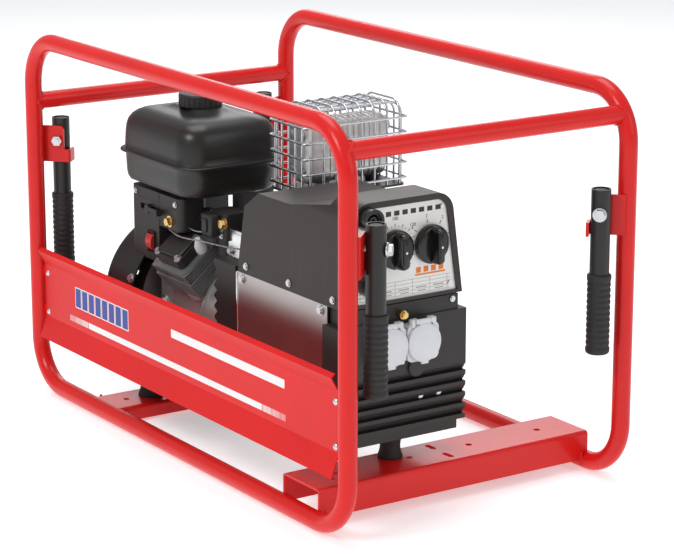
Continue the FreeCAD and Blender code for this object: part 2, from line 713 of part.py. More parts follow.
def engine():
    y, z = AXIS_Y, AXIS_Z
    base = rounded_box(ENGINE_BASE_X, ENGINE_BASE_Y,
                       (ENGINE_BASE_Z, ENGINE_BASE_Z + ENGINE_BASE_THICK), ENGINE_BASE_CORNER)
    for my in MOUNT_Y:
        base = base.cut(rod_z(LOW_MEMBER_X, my, 0, CASE_TOP, MEMBER_HOLE_R))
    keep("engine_base", base)
    mounts = []
    bolts = []
    for my in MOUNT_Y:
        mount = rod_z(LOW_MEMBER_X, my, LOW_MEMBER_TOP, ENGINE_BASE_Z, MOUNT_R)
        mounts.append(mount.cut(rod_z(LOW_MEMBER_X, my, 0, ENGINE_BASE_Z + CUT, MEMBER_HOLE_R)))
        top = ENGINE_BASE_Z + ENGINE_BASE_THICK
        under = LOW_MEMBER_TOP - SHEET
        nut = under - MOUNT_HEAD_HEIGHT
        bolt = rod_z(LOW_MEMBER_X, my, nut - THREAD_END, top, PIVOT_BOLT_R)
        bolt = bolt.fuse(rod_z(LOW_MEMBER_X, my, top, top + MOUNT_HEAD_HEIGHT, MOUNT_HEAD_R))
        bolts.append(bolt.fuse(rod_z(LOW_MEMBER_X, my, nut, under, MOUNT_HEAD_R)))
    mounts.append(rod_z(FOOT_X, y, HIGH_MEMBER_TOP, HIGH_MEMBER_TOP + FOOT_HEIGHT, FOOT_R))
    keep("rubber_mounts", Part.makeCompound(mounts))
    keep("mount_bolts", Part.makeCompound(bolts))
    case = rounded_box(CASE_X, (y - CASE_HALF_WIDTH, y + CASE_HALF_WIDTH),
                       (ENGINE_BASE_Z + ENGINE_BASE_THICK, CASE_TOP), CASE_CORNER, Vector(1, 0, 0))
    case = case.cut(rod_x(CASE_X[0] - CUT, CASE_X[1] + CUT, y, z, SHAFT_R + RUNNING_GAP))
    deck = slab(FIN_START - DECK_GAP, CYLINDER_END, CYLINDER_WIDTH + 2 * DECK_GAP, 2 * CYLINDER_DEPTH)
    keep("crankcase", case.cut(tilted(deck)).cut(tilted(cylinder_barrel())))
    keep("cylinder", tilted(cylinder_fins()))
    head = CYLINDER_END
    keep("cylinder_head", tilted(slab(head, head + HEAD_THICK, CYLINDER_WIDTH - 2 * HEAD_INSET,
                                      CYLINDER_DEPTH - 2 * HEAD_INSET)))
    cover = head + HEAD_THICK
    keep("valve_cover", tilted(slab(cover, cover + VALVE_COVER_THICK, CYLINDER_WIDTH - 2 * COVER_INSET[0],
                                    CYLINDER_DEPTH - 2 * COVER_INSET[1])))


def slab(low, high, width, depth, corner=BLOCK_CORNER):
    """Rounded block on the cylinder's own axis, which stands along Z until it is tilted."""
    half_w, half_d = width / 2, depth / 2
    return rounded_box((CYLINDER_X - half_w, CYLINDER_X + half_w), (AXIS_Y - half_d, AXIS_Y + half_d),
                       (AXIS_Z + low, AXIS_Z + high), corner)


def tilted(shape):
    turned = shape.copy()
    turned.rotate(Vector(0, AXIS_Y, AXIS_Z), Vector(1, 0, 0), 90 - CYLINDER_TILT)
    return turned


def cylinder_barrel():
    return rod_z(CYLINDER_X, AXIS_Y, AXIS_Z + CYLINDER_START, AXIS_Z + CYLINDER_END, BARREL_R)


def cylinder_fins():
    """Barrel with square cooling fins, which stand clear of the crankcase."""
    barrel = cylinder_barrel()
    for low in spread(FIN_START, CYLINDER_END - FIN_THICK, FIN_COUNT):
        barrel = barrel.fuse(slab(low, low + FIN_THICK, CYLINDER_WIDTH, CYLINDER_DEPTH, FIN_CORNER))
    return barrel.removeSplitter()


def blower():
    y, z = AXIS_Y, AXIS_Z
    low, high = BLOWER_X
    shell = rod_x(low, high, y, z, BLOWER_R)
    rim = [e for e in shell.Edges if abs(e.CenterOfMass.x - low) < TOLERANCE and len(e.Vertexes) == 1]
    shell = shell.makeFillet(BLOWER_EDGE, rim)
    inner = rod_x(low + BLOWER_WALL, high + CUT, y, z, BLOWER_R - BLOWER_WALL)
    rim = [e for e in inner.Edges if e.CenterOfMass.x < low + BLOWER_WALL + TOLERANCE
           and len(e.Vertexes) == 1]
    inner = inner.makeFillet(BLOWER_EDGE - BLOWER_WALL, rim)
    shell = shell.cut(inner).cut(rod_x(low - CUT, low + BLOWER_EDGE, y, z, RECOIL_R - 2 * RECOIL_WALL))
    reach = BLOWER_R + CUT
    below = box((low - CUT, high + CUT), (y - reach, y + reach), (0, BLOWER_OPEN_Z))
    keep("blower_housing", shell.cut(below))
    cover = rod_x(low - RECOIL_DEPTH, low, y, z, RECOIL_R)
    rim = [e for e in cover.Edges if e.CenterOfMass.x < low - RECOIL_DEPTH + TOLERANCE
           and len(e.Vertexes) == 1]
    cover = cover.makeFillet(RECOIL_EDGE, rim)
    cover = cover.cut(rod_x(low - RECOIL_DEPTH + RECOIL_WALL, low + CUT, y, z, RECOIL_R - 3 * RECOIL_WALL))
    for k in range(RECOIL_SLOTS):
        slot = box((low - RECOIL_DEPTH - CUT, low - RECOIL_DEPTH + RECOIL_WALL + CUT),
                   (y + RECOIL_SLOT_R[0], y + RECOIL_SLOT_R[1]),
                   (z - RECOIL_SLOT_WIDTH / 2, z + RECOIL_SLOT_WIDTH / 2))
        slot.rotate(Vector(0, y, z), Vector(1, 0, 0), 360.0 * (k + 0.5) / RECOIL_SLOTS)
        cover = cover.cut(slot)
    keep("recoil_cover", cover)
    grip_z = z + RECOIL_R - STARTER_DROP
    face = low - RECOIL_DEPTH
    stem = rod_x(face - STARTER_REACH, face, y, grip_z, STARTER_R - CUT)
    bar = rod_y(face - STARTER_REACH, y - STARTER_HALF, y + STARTER_HALF, grip_z, STARTER_R)
    keep("starter_grip", stem.fuse(bar).removeSplitter())


def fuel_tank():
    upper = rounded_box(TANK_X, TANK_Y, (TANK_SEAM, TANK_TOP), TANK_CORNER)
    rims = [e for e in upper.Edges if e.BoundBox.ZMin > TANK_TOP - TOLERANCE]
    upper = upper.makeFillet(TANK_EDGE, rims)
    inset = TANK_INSET
    lower = rounded_box((TANK_X[0] + inset, TANK_X[1] - inset), (TANK_Y[0] + inset, TANK_Y[1] - inset),
                        (TANK_BOTTOM, TANK_SEAM), TANK_CORNER - inset)
    rims = [e for e in lower.Edges if e.BoundBox.ZMax < TANK_BOTTOM + TOLERANCE]
    lower = lower.makeFillet(TANK_LOW_EDGE, rims)
    lip = rounded_box((TANK_X[0] - SEAM_LIP, TANK_X[1] + SEAM_LIP),
                      (TANK_Y[0] - SEAM_LIP, TANK_Y[1] + SEAM_LIP),
                      (TANK_SEAM - SEAM_THICK / 2, TANK_SEAM + SEAM_THICK / 2), TANK_CORNER + SEAM_LIP)
    neck = rod_z(CAP_X, CAP_Y, TANK_TOP - CUT, TANK_TOP + NECK_HEIGHT, NECK_R)
    keep("fuel_tank", upper.fuse(lower).fuse(lip).fuse(neck).removeSplitter())
    cap = rod_z(CAP_X, CAP_Y, TANK_TOP + CAP_GAP, TANK_TOP + CAP_GAP + CAP_HEIGHT, CAP_R)
    rim = [e for e in cap.Edges if e.BoundBox.ZMin > TANK_TOP + CAP_HEIGHT and len(e.Vertexes) == 1]
    cap = cap.makeFillet(CAP_EDGE, rim)
    cap = cap.cut(rod_z(CAP_X, CAP_Y, TANK_TOP, TANK_TOP + NECK_HEIGHT + CAP_GAP, NECK_R + CAP_GAP))
    for k in range(CAP_FLUTES):
        angle = 2 * math.pi * k / CAP_FLUTES
        x = CAP_X + (CAP_R + FLUTE_OUT) * math.cos(angle)
        y = CAP_Y + (CAP_R + FLUTE_OUT) * math.sin(angle)
        cap = cap.cut(rod_z(x, y, TANK_TOP, TANK_TOP + CAP_HEIGHT - CAP_EDGE, FLUTE_R))
    keep("fuel_cap", cap)


def air_cleaner_and_controls():
    cover = rounded_box(CLEANER_X, CLEANER_Y, CLEANER_Z, CLEANER_CORNER)
    blower_space = rod_x(BLOWER_X[0] - CUT, BLOWER_X[1] + CUT, AXIS_Y, AXIS_Z, BLOWER_R + CUT)
    head_space = box((CYLINDER_X - CYLINDER_WIDTH / 2 - DECK_GAP, CLEANER_X[1] + CUT),
                     (CLEANER_Y[0] - CUT, CLEANER_Y[1] + CUT), (CLEANER_Z[0] - CUT, CLEANER_STEP_Z))
    slot_y = (CLEANER_Y[0] - CUT, CLEANER_Y[0] + CLEANER_SLOT_DEPTH)
    half_x = SWITCH_HALF_X + SWITCH_GAP[0]
    half_z = SWITCH_HALF_Z + SWITCH_GAP[1]
    pocket = box((STOP_SWITCH_X - half_x, STOP_SWITCH_X + half_x), slot_y,
                 (STOP_SWITCH_Z - half_z, STOP_SWITCH_Z + half_z))
    cover = cover.cut(blower_space).cut(head_space).cut(pocket)
    slot = box((LEVER_X - LEVER_SLOT[0] / 2, LEVER_X + LEVER_SLOT[0] / 2), slot_y,
               (LEVER_SLOT_Z - LEVER_SLOT[1] / 2, LEVER_SLOT_Z + LEVER_SLOT[1] / 2))
    face = CLEANER_Y[0]
    pin_end = face + 2 * CLEANER_SLOT_DEPTH
    keep("air_cleaner", cover.cut(slot).cut(rod_y(LEVER_X, face - CUT, pin_end + CUT, LEVER_SLOT_Z,
                                                  LEVER_PIN_R + RUNNING_GAP)))
    arm_y = face - LEVER_R
    pin = rod_y(LEVER_X, arm_y, pin_end, LEVER_SLOT_Z, LEVER_PIN_R)
    hub = rod_y(LEVER_X, arm_y, face - KNOB_GAP, LEVER_SLOT_Z, LEVER_R)
    arm = box((LEVER_X, LEVER_X + LEVER_LENGTH), (arm_y, arm_y + LEVER_THICK),
              (LEVER_SLOT_Z - LEVER_PIN_R, LEVER_SLOT_Z + LEVER_PIN_R))
    knob = rod_y(LEVER_X + LEVER_LENGTH, arm_y - LEVER_R, arm_y + LEVER_THICK, LEVER_SLOT_Z, LEVER_KNOB_R)
    keep("choke_lever", pin.fuse(hub).fuse(arm).fuse(knob).removeSplitter())
    low_x, high_x = STOP_SWITCH_X - SWITCH_HALF_X, STOP_SWITCH_X + SWITCH_HALF_X
    rocker = rod_x(low_x, high_x, face + ROCKER_DEPTH, STOP_SWITCH_Z, ROCKER_R)
    rocker = rocker.common(box((low_x, high_x), (face - ROCKER_R, face + CLEANER_SLOT_DEPTH / 2),
                               (STOP_SWITCH_Z - SWITCH_HALF_Z, STOP_SWITCH_Z + SWITCH_HALF_Z)))
    keep("stop_switch", rocker)
    carb = rounded_box(CARB_X, CARB_Y, CARB_Z, CARB_CORNER)
    middle_x = (CARB_X[0] + CARB_X[1]) / 2
    middle_y = (CARB_Y[0] + CARB_Y[1]) / 2
    bowl = rod_z(middle_x, middle_y, CARB_Z[0] - CARB_BOWL_DEPTH, CARB_Z[0], CARB_BOWL_R)
    throat = rod_x(CLEANER_X[1], CARB_X[0], middle_y, (CARB_Z[0] + CARB_Z[1]) / 2, THROAT_R)
    keep("carburettor", carb.fuse(bowl).fuse(throat).removeSplitter())


# ---- muffler and its guard ----

def muffler():
    body = rounded_box(MUFFLER_X, MUFFLER_Y, MUFFLER_Z, MUFFLER_CORNER, Vector(0, 1, 0), MUFFLER_EDGE)
    middle_x = (MUFFLER_X[0] + MUFFLER_X[1]) / 2
    tail_z = MUFFLER_Z[1] - 2 * TAIL_R
    end = MUFFLER_Y[1]
    tail = rod_y(middle_x, end - PIPE_WALL, end + TAIL_LENGTH, tail_z, TAIL_R)
    tail = tail.cut(rod_y(middle_x, end + CUT, end + TAIL_LENGTH + CUT, tail_z, TAIL_R - PIPE_WALL))
    keep("muffler", body.fuse(tail).removeSplitter())
    x, y = PIPE_START
    path = rounded_path([Vector(x, y, CASE_TOP - PIPE_BEND / 2), Vector(x, y, PIPE_BENDS_Z[0]),
                         Vector(middle_x, PIPE_END_Y, PIPE_BENDS_Z[1]),
                         Vector(middle_x, PIPE_END_Y, MUFFLER_Z[0])], PIPE_BEND)
    pipe = swept_rod(path, EXHAUST_R)
    keep("exhaust_pipe", pipe.cut(PIECES["crankcase"]).cut(PIECES["muffler"]))


def hoop(points):
    return swept_rod(rounded_path(points, GUARD_BEND), GUARD_WIRE_R)


def spread(low, high, count):
    return [low + (high - low) * k / (count - 1) for k in range(count)]


def muffler_guard():
    """Welded wire basket: hoops over the top both ways, and rings outside them."""
    gap = GUARD_GAP
    x0, x1 = MUFFLER_X[0] - gap, MUFFLER_X[1] + gap
    y0, y1 = MUFFLER_Y[0] - gap, MUFFLER_Y[1] + gap
    top = MUFFLER_Z[1] + gap
    step = 2 * GUARD_WIRE_R + WIRE_GAP
    wires = []
    for x in spread(x0 + GUARD_INSET, x1 - GUARD_INSET, GUARD_HOOPS_X):
        wires.append(hoop([Vector(x, y0, GUARD_BOTTOM), Vector(x, y0, top), Vector(x, y1, top),
                           Vector(x, y1, GUARD_BOTTOM)]))
    for y in spread(y0 + GUARD_INSET, y1 - GUARD_INSET, GUARD_HOOPS_Y):
        wires.append(hoop([Vector(x0, y, GUARD_BOTTOM), Vector(x0, y, top + step),
                           Vector(x1, y, top + step), Vector(x1, y, GUARD_BOTTOM)]))
    for z in spread(GUARD_BOTTOM + GUARD_INSET, top - GUARD_BEND - step / 2, GUARD_RINGS):
        corners = [Vector(x0 - step, y0 - step, z), Vector(x1 + step, y0 - step, z),
                   Vector(x1 + step, y1 + step, z), Vector(x0 - step, y1 + step, z)]
        wires.append(swept_rod(rounded_path(corners, GUARD_BEND / 3, closed=True), GUARD_WIRE_R))
    keep("muffler_guard", Part.makeCompound(wires))


def support_brackets():
    """Bridge from the crankcase to the tank, and the tray that carries the muffler and its guard."""
    (x0, x1), (y0, y1) = TANK_BRACKET_X, TANK_BRACKET_Y
    bridge = box((x0, x1), (y0, y1), (CASE_TOP, TANK_BOTTOM))
    bridge = bridge.cut(box((x0 + SHEET, x1 - SHEET), (y0 - CUT, y1 + CUT),
                            (CASE_TOP - CUT, TANK_BOTTOM - SHEET)))
    out = GUARD_GAP + TRAY_EDGE
    under = GUARD_BOTTOM - TRAY_THICK
    tray = rounded_box((MUFFLER_X[0] - out, MUFFLER_X[1] + out), (MUFFLER_Y[0] - out, MUFFLER_Y[1] + out),
                       (under, GUARD_BOTTOM), TRAY_CORNER)
    for y in TRAY_PADS_Y:
        tray = tray.fuse(box((MUFFLER_X[0] + MUFFLER_CORNER, MUFFLER_X[1] - MUFFLER_CORNER),
                             (y, y + TRAY_PAD_WIDTH), (GUARD_BOTTOM, MUFFLER_Z[0])))
    tray = tray.fuse(box((TRAY_LEG_X, TRAY_LEG_X + TRAY_THICK), TRAY_LEG_Y, (AXIS_Z, under)))
    alternator = rod_x(ALTERNATOR_X - CUT, FACE_X, AXIS_Y, AXIS_Z, ALTERNATOR_R + WELD_GAP)
    middle_x = (MUFFLER_X[0] + MUFFLER_X[1]) / 2
    pipe_hole = rod_z(middle_x, PIPE_END_Y, under - CUT, MUFFLER_Z[0], EXHAUST_R + CUT)
    tray = tray.cut(alternator).cut(pipe_hole)
    tray = max(tray.Solids, key=lambda s: s.Volume)
    keep("support_brackets", Part.makeCompound([bridge, tray]))


# ---- control housing over the alternator ----

def hood_prism(inset, x0, x1):
    """Panel shape in the YZ plane, along X: the sides lean in towards a rounded top."""
    left, right = HOUSING_Y
    top = HOOD_TOP - inset
    bottom = HOUSING_TOP + min(inset, BEZEL_BOTTOM)
    points = [Vector(x0, left + inset, bottom), Vector(x0, right - inset, bottom),
              Vector(x0, right - HOOD_TAPER - inset, top), Vector(x0, left + HOOD_TAPER + inset, top)]
    prism = Part.Face(Part.makePolygon(points + points[:1])).extrude(Vector(x1 - x0, 0, 0))
    rims = [e for e in edges_along(prism, Vector(1, 0, 0)) if e.CenterOfMass.z > top - TOLERANCE]
    return prism.makeFillet(HOOD_CORNER - inset, rims)


def hood_side(drop, front_x):
    """Side outline of the hood, lowered by the sheet's thickness for its inside."""
    y = HOUSING_Y[0] - CUT
    back_x = HOUSING_BACK_X + drop
    bottom = HOUSING_TOP - drop
    points = [Vector(back_x, y, bottom), Vector(front_x, y, bottom), Vector(front_x, y, HOOD_TOP - drop),
              Vector(HOOD_BOX_X + drop, y, HOOD_TOP - drop), Vector(HOOD_BOX_X + drop, y, HOOD_STEP_Z - drop),
              Vector(HOOD_FLAT_X, y, HOOD_REAR_TOP - drop), Vector(HOOD_CHAMFER_X, y, HOOD_REAR_TOP - drop),
              Vector(back_x, y, HOOD_REAR_LOW - drop)]
    depth = HOUSING_Y[1] - HOUSING_Y[0] + 2 * CUT
    return Part.Face(Part.makePolygon(points + points[:1])).extrude(Vector(0, depth, 0))


def control_housing():
    left, right = HOUSING_Y
    bezel_x = FACE_X - BEZEL_DEPTH
    face = FACE_X - PLATE_RECESS
    hood = hood_prism(0, HOUSING_BACK_X, FACE_X).common(hood_side(0, FACE_X))
    inside = hood_prism(HOOD_THICK, HOUSING_BACK_X, bezel_x).common(hood_side(HOOD_THICK, bezel_x))
    open_floor = box((HOUSING_BACK_X + HOOD_THICK, bezel_x), (left + HOOD_THICK, right - HOOD_THICK),
                     (HOUSING_TOP - CUT, HOUSING_TOP + HOOD_THICK + CUT))
    hood = hood.cut(inside).cut(open_floor).cut(hood_prism(BEZEL_WIDTH, bezel_x - CUT, FACE_X + CUT))
    plate = hood_prism(BEZEL_WIDTH + BOLT_SLACK, face - PLATE_THICK, face)
    for y, z in (CURRENT_KNOB, RANGE_KNOB):
        plate = plate.cut(rod_x(bezel_x, FACE_X, y, z, KNOB_SHAFT_R + RUNNING_GAP))
    for y, z in WELD_SOCKETS:
        plate = plate.cut(rod_x(bezel_x, FACE_X, y, z, WELD_SOCKET_R - WELD_SOCKET_WALL))
        hood = hood.cut(rod_x(face, FACE_X + CUT, y, z, WELD_SOCKET_R + 2 * BOLT_SLACK))
        hood = hood.cut(rod_x(bezel_x - CUT, face, y, z, WELD_SOCKET_R - WELD_SOCKET_WALL))
    keep("instrument_plate", plate)
    keep("hood", max(hood.Solids, key=lambda s: s.Volume))
    casing = box((HOUSING_BACK_X, FACE_X - END_CAP_DEPTH), (left, right), (HOUSING_BOTTOM, HOUSING_TOP))
    hollow = box((HOUSING_BACK_X - CUT, FACE_X), (left + HOUSING_THICK, right - HOUSING_THICK),
                 (HOUSING_BOTTOM - CUT, HOUSING_TOP - HOUSING_THICK))
    keep("alternator_casing", casing.cut(hollow))


def end_cap():
    """Moulded end cap with louvres below and a flat field for the sockets."""
    (y0, y1), (z0, z1) = END_CAP_Y, END_CAP_Z
    x0, x1 = FACE_X - END_CAP_DEPTH, FACE_X
    cap = box((x0, x1), (y0, y1), (z0, z1))
    cap = cap.fuse(box((x0, x1 - CAP_SHOULDER_DROP), (y0 + CAP_SHOULDER, y1 - CAP_SHOULDER),
                       (z0 - CAP_SHOULDER, HOUSING_TOP - CAP_SHOULDER_DROP)))
    hollow = box((x0 - CUT, x1 - END_CAP_WALL - LOUVRE_DEPTH), (y0 + END_CAP_WALL, y1 - END_CAP_WALL),
                 (z0 + END_CAP_WALL, z1 - END_CAP_WALL))
    cap = cap.removeSplitter().cut(hollow)
    for k in range(LOUVRE_COUNT):
        low = LOUVRE_FIRST_Z + k * LOUVRE_PITCH
        notch = [Vector(x1 + TOLERANCE, y0 - CUT, low), Vector(x1 - LOUVRE_DEPTH, y0 - CUT, low),
                 Vector(x1 + TOLERANCE, y0 - CUT, low + LOUVRE_PITCH - LOUVRE_LIP)]
        cap = cap.cut(Part.Face(Part.makePolygon(notch + notch[:1])).extrude(Vector(0, y1 - y0 + 2 * CUT, 0)))
    arm_half = ARM_HALF_WIDTH + CUT
    arm_slot = box((x0 - CUT, FOOT_X + FOOT_R + CUT), (AXIS_Y - arm_half, AXIS_Y + arm_half),
                   (z0 - CAP_SHOULDER - CUT, z0 + END_CAP_WALL + CUT))
    cap = cap.cut(arm_slot)
    for y in OUTLET_Y:
        cap = cap.cut(rod_x(x0, x1 + CUT, y, OUTLET_Z, OUTLET_WELL_R - CAP_SHOULDER_DROP))
    cap = cap.cut(rod_x(x0, x1 + CUT, EARTH_POINT[0], EARTH_POINT[1], EARTH_R + 2 * BOLT_SLACK))
    keep("end_cap", max(cap.Solids, key=lambda s: s.Volume))


def intake_louvre():
    """Comb-shaped air intake at the engine end of the alternator."""
    (x0, x1), (y0, y1), (z0, z1) = LOUVRE_BLOCK
    block = box((x0, x1), (y0, y1), (z0, z1))
    count = int((z1 - z0) / LOUVRE_PITCH)
    for k in range(count):
        low = z0 + COMB_LIP + k * LOUVRE_PITCH
        notch = [Vector(x0 - TOLERANCE, y0 - CUT, low),
                 Vector(x0 + LOUVRE_DEPTH, y0 - CUT, low + LOUVRE_PITCH / 2),
                 Vector(x0 - TOLERANCE, y0 - CUT, low + LOUVRE_PITCH - COMB_LIP)]
        notch = Part.Face(Part.makePolygon(notch + notch[:1]))
        block = block.cut(notch.extrude(Vector(0, y1 - y0 + 2 * CUT, 0)))
    bore = rod_x(x0 - CUT, x1 + CUT, AXIS_Y, AXIS_Z, ALTERNATOR_R + CUT)
    keep("intake_louvre", block.cut(bore))


def knobs():
    face = FACE_X - PLATE_RECESS
    back = face + KNOB_GAP
    rim_x = back + KNOB_BASE
    front = rim_x + KNOB_GRIP_HEIGHT
    for name, (y, z) in (("current_knob", CURRENT_KNOB), ("range_knob", RANGE_KNOB)):
        base = rod_x(back, rim_x, y, z, KNOB_R)
        rim = [e for e in base.Edges if e.CenterOfMass.x > rim_x - TOLERANCE and len(e.Vertexes) == 1]
        base = base.makeFillet(KNOB_EDGE, rim)
        grip = box((back, front), (y - KNOB_GRIP_WIDTH / 2, y + KNOB_GRIP_WIDTH / 2),
                   (z - KNOB_R + CUT, z + KNOB_R - CUT))
        tips = [e for e in edges_along(grip, Vector(0, 1, 0)) if e.CenterOfMass.x > front - TOLERANCE]
        grip = grip.makeFillet(KNOB_TIP, tips)
        shaft = rod_x(FACE_X - BEZEL_DEPTH - PIN_REACH, rim_x, y, z, KNOB_SHAFT_R)
        keep(name, base.fuse(grip).fuse(shaft).removeSplitter())


def weld_sockets():
    face = FACE_X - PLATE_RECESS
    floor = face + PLATE_THICK
    front = face + WELD_SOCKET_LENGTH
    sockets = []
    pins = []
    for y, z in WELD_SOCKETS:
        bore = WELD_SOCKET_R - WELD_SOCKET_WALL
        pin_r = EARTH_R + CUT
        body = rod_x(face, front, y, z, WELD_SOCKET_R)
        body = body.fuse(rod_x(FACE_X - BEZEL_DEPTH - CUT, face, y, z, bore - BOLT_SLACK))
        body = body.cut(rod_x(floor, front + CUT, y, z, bore))
        sockets.append(body.cut(rod_x(FACE_X - BEZEL_DEPTH - 2 * CUT, FACE_X, y, z, pin_r + BOLT_SLACK)))
        pin = rod_x(floor, front - WELD_SOCKET_WALL, y, z, bore - CUT)
        pin = pin.cut(rod_x(floor + PLATE_RECESS, front, y, z, WELD_SOCKET_BORE_R))
        pins.append(pin.fuse(rod_x(FACE_X - BEZEL_DEPTH - PIN_REACH, FACE_X, y, z, pin_r)))
    keep("weld_socket_bodies", Part.makeCompound(sockets))
    y, z = EARTH_POINT
    stud = rod_x(FACE_X - BEZEL_DEPTH, FACE_X + BEZEL_DEPTH, y, z, EARTH_R)
    pins.append(stud.fuse(rod_x(FACE_X - CAP_SHOULDER_DROP, FACE_X + PIN_REACH, y, z, EARTH_FLANGE_R)))
    keep("terminals", Part.makeCompound(pins))


def outlets():
    """Two mains outlets with hinged round lids."""
    bases = []
    inserts = []
    half = OUTLET_SIZE / 2
    front = FACE_X + OUTLET_BASE
    hinge_x = front + OUTLET_FLOOR
    hinge_z = OUTLET_Z + half + LID_HINGE_R + LID_RIM
    insert_r = OUTLET_WELL_R - INSERT_SHRINK
    pin_half = LUG_OFFSET + LUG_WIDTH / 2 - HINGE_SLACK
    barrel_half = LUG_OFFSET - LUG_WIDTH / 2 - 2 * HINGE_SLACK
    for k, y in enumerate(OUTLET_Y):
        base = rounded_box((FACE_X, front), (y - half, y + half), (OUTLET_Z - half, OUTLET_Z + half),
                           OUTLET_CORNER, Vector(1, 0, 0))
        base = base.cut(rod_x(FACE_X + OUTLET_FLOOR, front + CUT, y, OUTLET_Z, OUTLET_WELL_R))
        base = base.cut(rod_x(FACE_X - CUT, front, y, OUTLET_Z, insert_r + BOLT_SLACK))
        for side in (-1, 1):
            lug_y = (y + side * LUG_OFFSET - LUG_WIDTH / 2, y + side * LUG_OFFSET + LUG_WIDTH / 2)
            base = base.fuse(box((front - LUG_DEPTH, front), lug_y,
                                 (OUTLET_Z + half - OUTLET_FLOOR, hinge_z + LID_HINGE_R)))
            base = base.fuse(box((front, front + LUG_DEPTH), lug_y,
                                 (OUTLET_Z + LID_R + LID_GAP, hinge_z + LID_HINGE_R)))
        pin_hole = rod_y(hinge_x, y - half, y + half, hinge_z, HINGE_PIN_R + RUNNING_GAP)
        bases.append(base.removeSplitter().cut(pin_hole))
        insert = rod_x(FACE_X - INSERT_BACK, FACE_X + INSERT_FRONT, y, OUTLET_Z, insert_r)
        for contact_y in (y - CONTACT_OFFSET, y + CONTACT_OFFSET):
            insert = insert.cut(rod_x(FACE_X + CUT, front, contact_y, OUTLET_Z, CONTACT_R))
        inserts.append(insert)
        lid_x = front + LID_GAP
        lid = rod_x(lid_x, lid_x + LID_THICK, y, OUTLET_Z, LID_R)
        rim = [e for e in lid.Edges
               if e.CenterOfMass.x > lid_x + LID_THICK - TOLERANCE and len(e.Vertexes) == 1]
        lid = lid.makeFillet(LID_EDGE, rim)
        barrel = rod_y(hinge_x, y - barrel_half, y + barrel_half, hinge_z, LID_HINGE_R)
        web = box((lid_x, lid_x + LID_THICK - HINGE_PIN_R), (y - barrel_half, y + barrel_half),
                  (OUTLET_Z + LID_R - 2 * LID_HINGE_R, hinge_z))
        pin = rod_y(hinge_x, y - pin_half, y + pin_half, hinge_z, HINGE_PIN_R)
        lid = lid.fuse(web).fuse(barrel).fuse(pin).removeSplitter()
        keep("outlet_lid_%d" % (k + 1), lid)
    keep("outlet_bases", Part.makeCompound(bases))
    keep("outlet_inserts", Part.makeCompound(inserts))


def build():
    tube_frame()
    side_panel()
    carrying_handles()
    shaft_line()
    alternator()
    engine()
    blower()
    fuel_tank()
    air_cleaner_and_controls()
    muffler()
    muffler_guard()
    support_brackets()
    control_housing()
    end_cap()
    intake_louvre()
    knobs()
    weld_sockets()
    outlets()
    os.makedirs("parts", exist_ok=True)
    for name, shape in PIECES.items():
        shape.exportStep("parts/" + name + ".step")
        print(name, "solids", len(shape.Solids), "valid", shape.isValid(), "volume", round(shape.Volume))


build()
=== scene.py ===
import bpy
import bmesh
import math
from mathutils import Matrix, Vector


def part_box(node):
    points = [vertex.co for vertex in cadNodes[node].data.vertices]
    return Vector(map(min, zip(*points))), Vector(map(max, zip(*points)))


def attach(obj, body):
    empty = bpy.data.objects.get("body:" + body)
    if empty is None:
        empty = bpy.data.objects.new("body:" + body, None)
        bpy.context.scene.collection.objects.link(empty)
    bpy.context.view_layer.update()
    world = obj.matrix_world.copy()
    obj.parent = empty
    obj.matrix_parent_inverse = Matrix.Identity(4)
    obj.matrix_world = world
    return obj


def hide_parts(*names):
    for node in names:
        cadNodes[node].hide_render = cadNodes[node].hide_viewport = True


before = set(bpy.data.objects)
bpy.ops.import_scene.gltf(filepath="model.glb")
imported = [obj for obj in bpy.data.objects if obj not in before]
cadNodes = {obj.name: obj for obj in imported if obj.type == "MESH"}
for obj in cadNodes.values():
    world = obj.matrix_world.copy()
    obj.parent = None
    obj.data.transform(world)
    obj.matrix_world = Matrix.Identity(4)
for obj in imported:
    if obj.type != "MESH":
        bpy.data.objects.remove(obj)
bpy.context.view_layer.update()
print("frame loaded:", len(cadNodes), "nodes")


# shader and geometry maths as plain expressions

class Wire:
    def __init__(self, sheet, socket):
        self.sheet = sheet
        self.socket = socket

    def maths(self, operation, first, second):
        return self.sheet.put("ShaderNodeMath", {"operation": operation}, {0: first, 1: second}).out(0)

    def __add__(self, other):
        return self.maths("ADD", self, other)

    def __sub__(self, other):
        return self.maths("SUBTRACT", self, other)

    def __rsub__(self, other):
        return self.maths("SUBTRACT", other, self)

    def __mul__(self, other):
        return self.maths("MULTIPLY", self, other)

    def over(self, level):
        return self.maths("GREATER_THAN", self, level)

    __radd__ = __add__
    __rmul__ = __mul__


class Placed:
    def __init__(self, sheet, node):
        self.sheet = sheet
        self.node = node

    def out(self, key):
        return Wire(self.sheet, self.node.outputs[key])


class Sheet:
    def __init__(self, tree):
        self.tree = tree

    def put(self, kind, settings=None, values=None):
        node = self.tree.nodes.new(kind)
        for key, value in (settings or {}).items():
            if key == "stops":
                ramp = node.color_ramp
                for stop, (at, colour) in zip(ramp.elements, value):
                    stop.position = at
                    stop.color = colour
            else:
                setattr(node, key, value)
        for key, value in (values or {}).items():
            if isinstance(value, Wire):
                self.tree.links.new(value.socket, node.inputs[key])
            else:
                node.inputs[key].default_value = value
        return Placed(self, node)


def tint(colour, factor=1.0):
    return tuple(min(1.0, c * factor) for c in colour) + (1.0,)


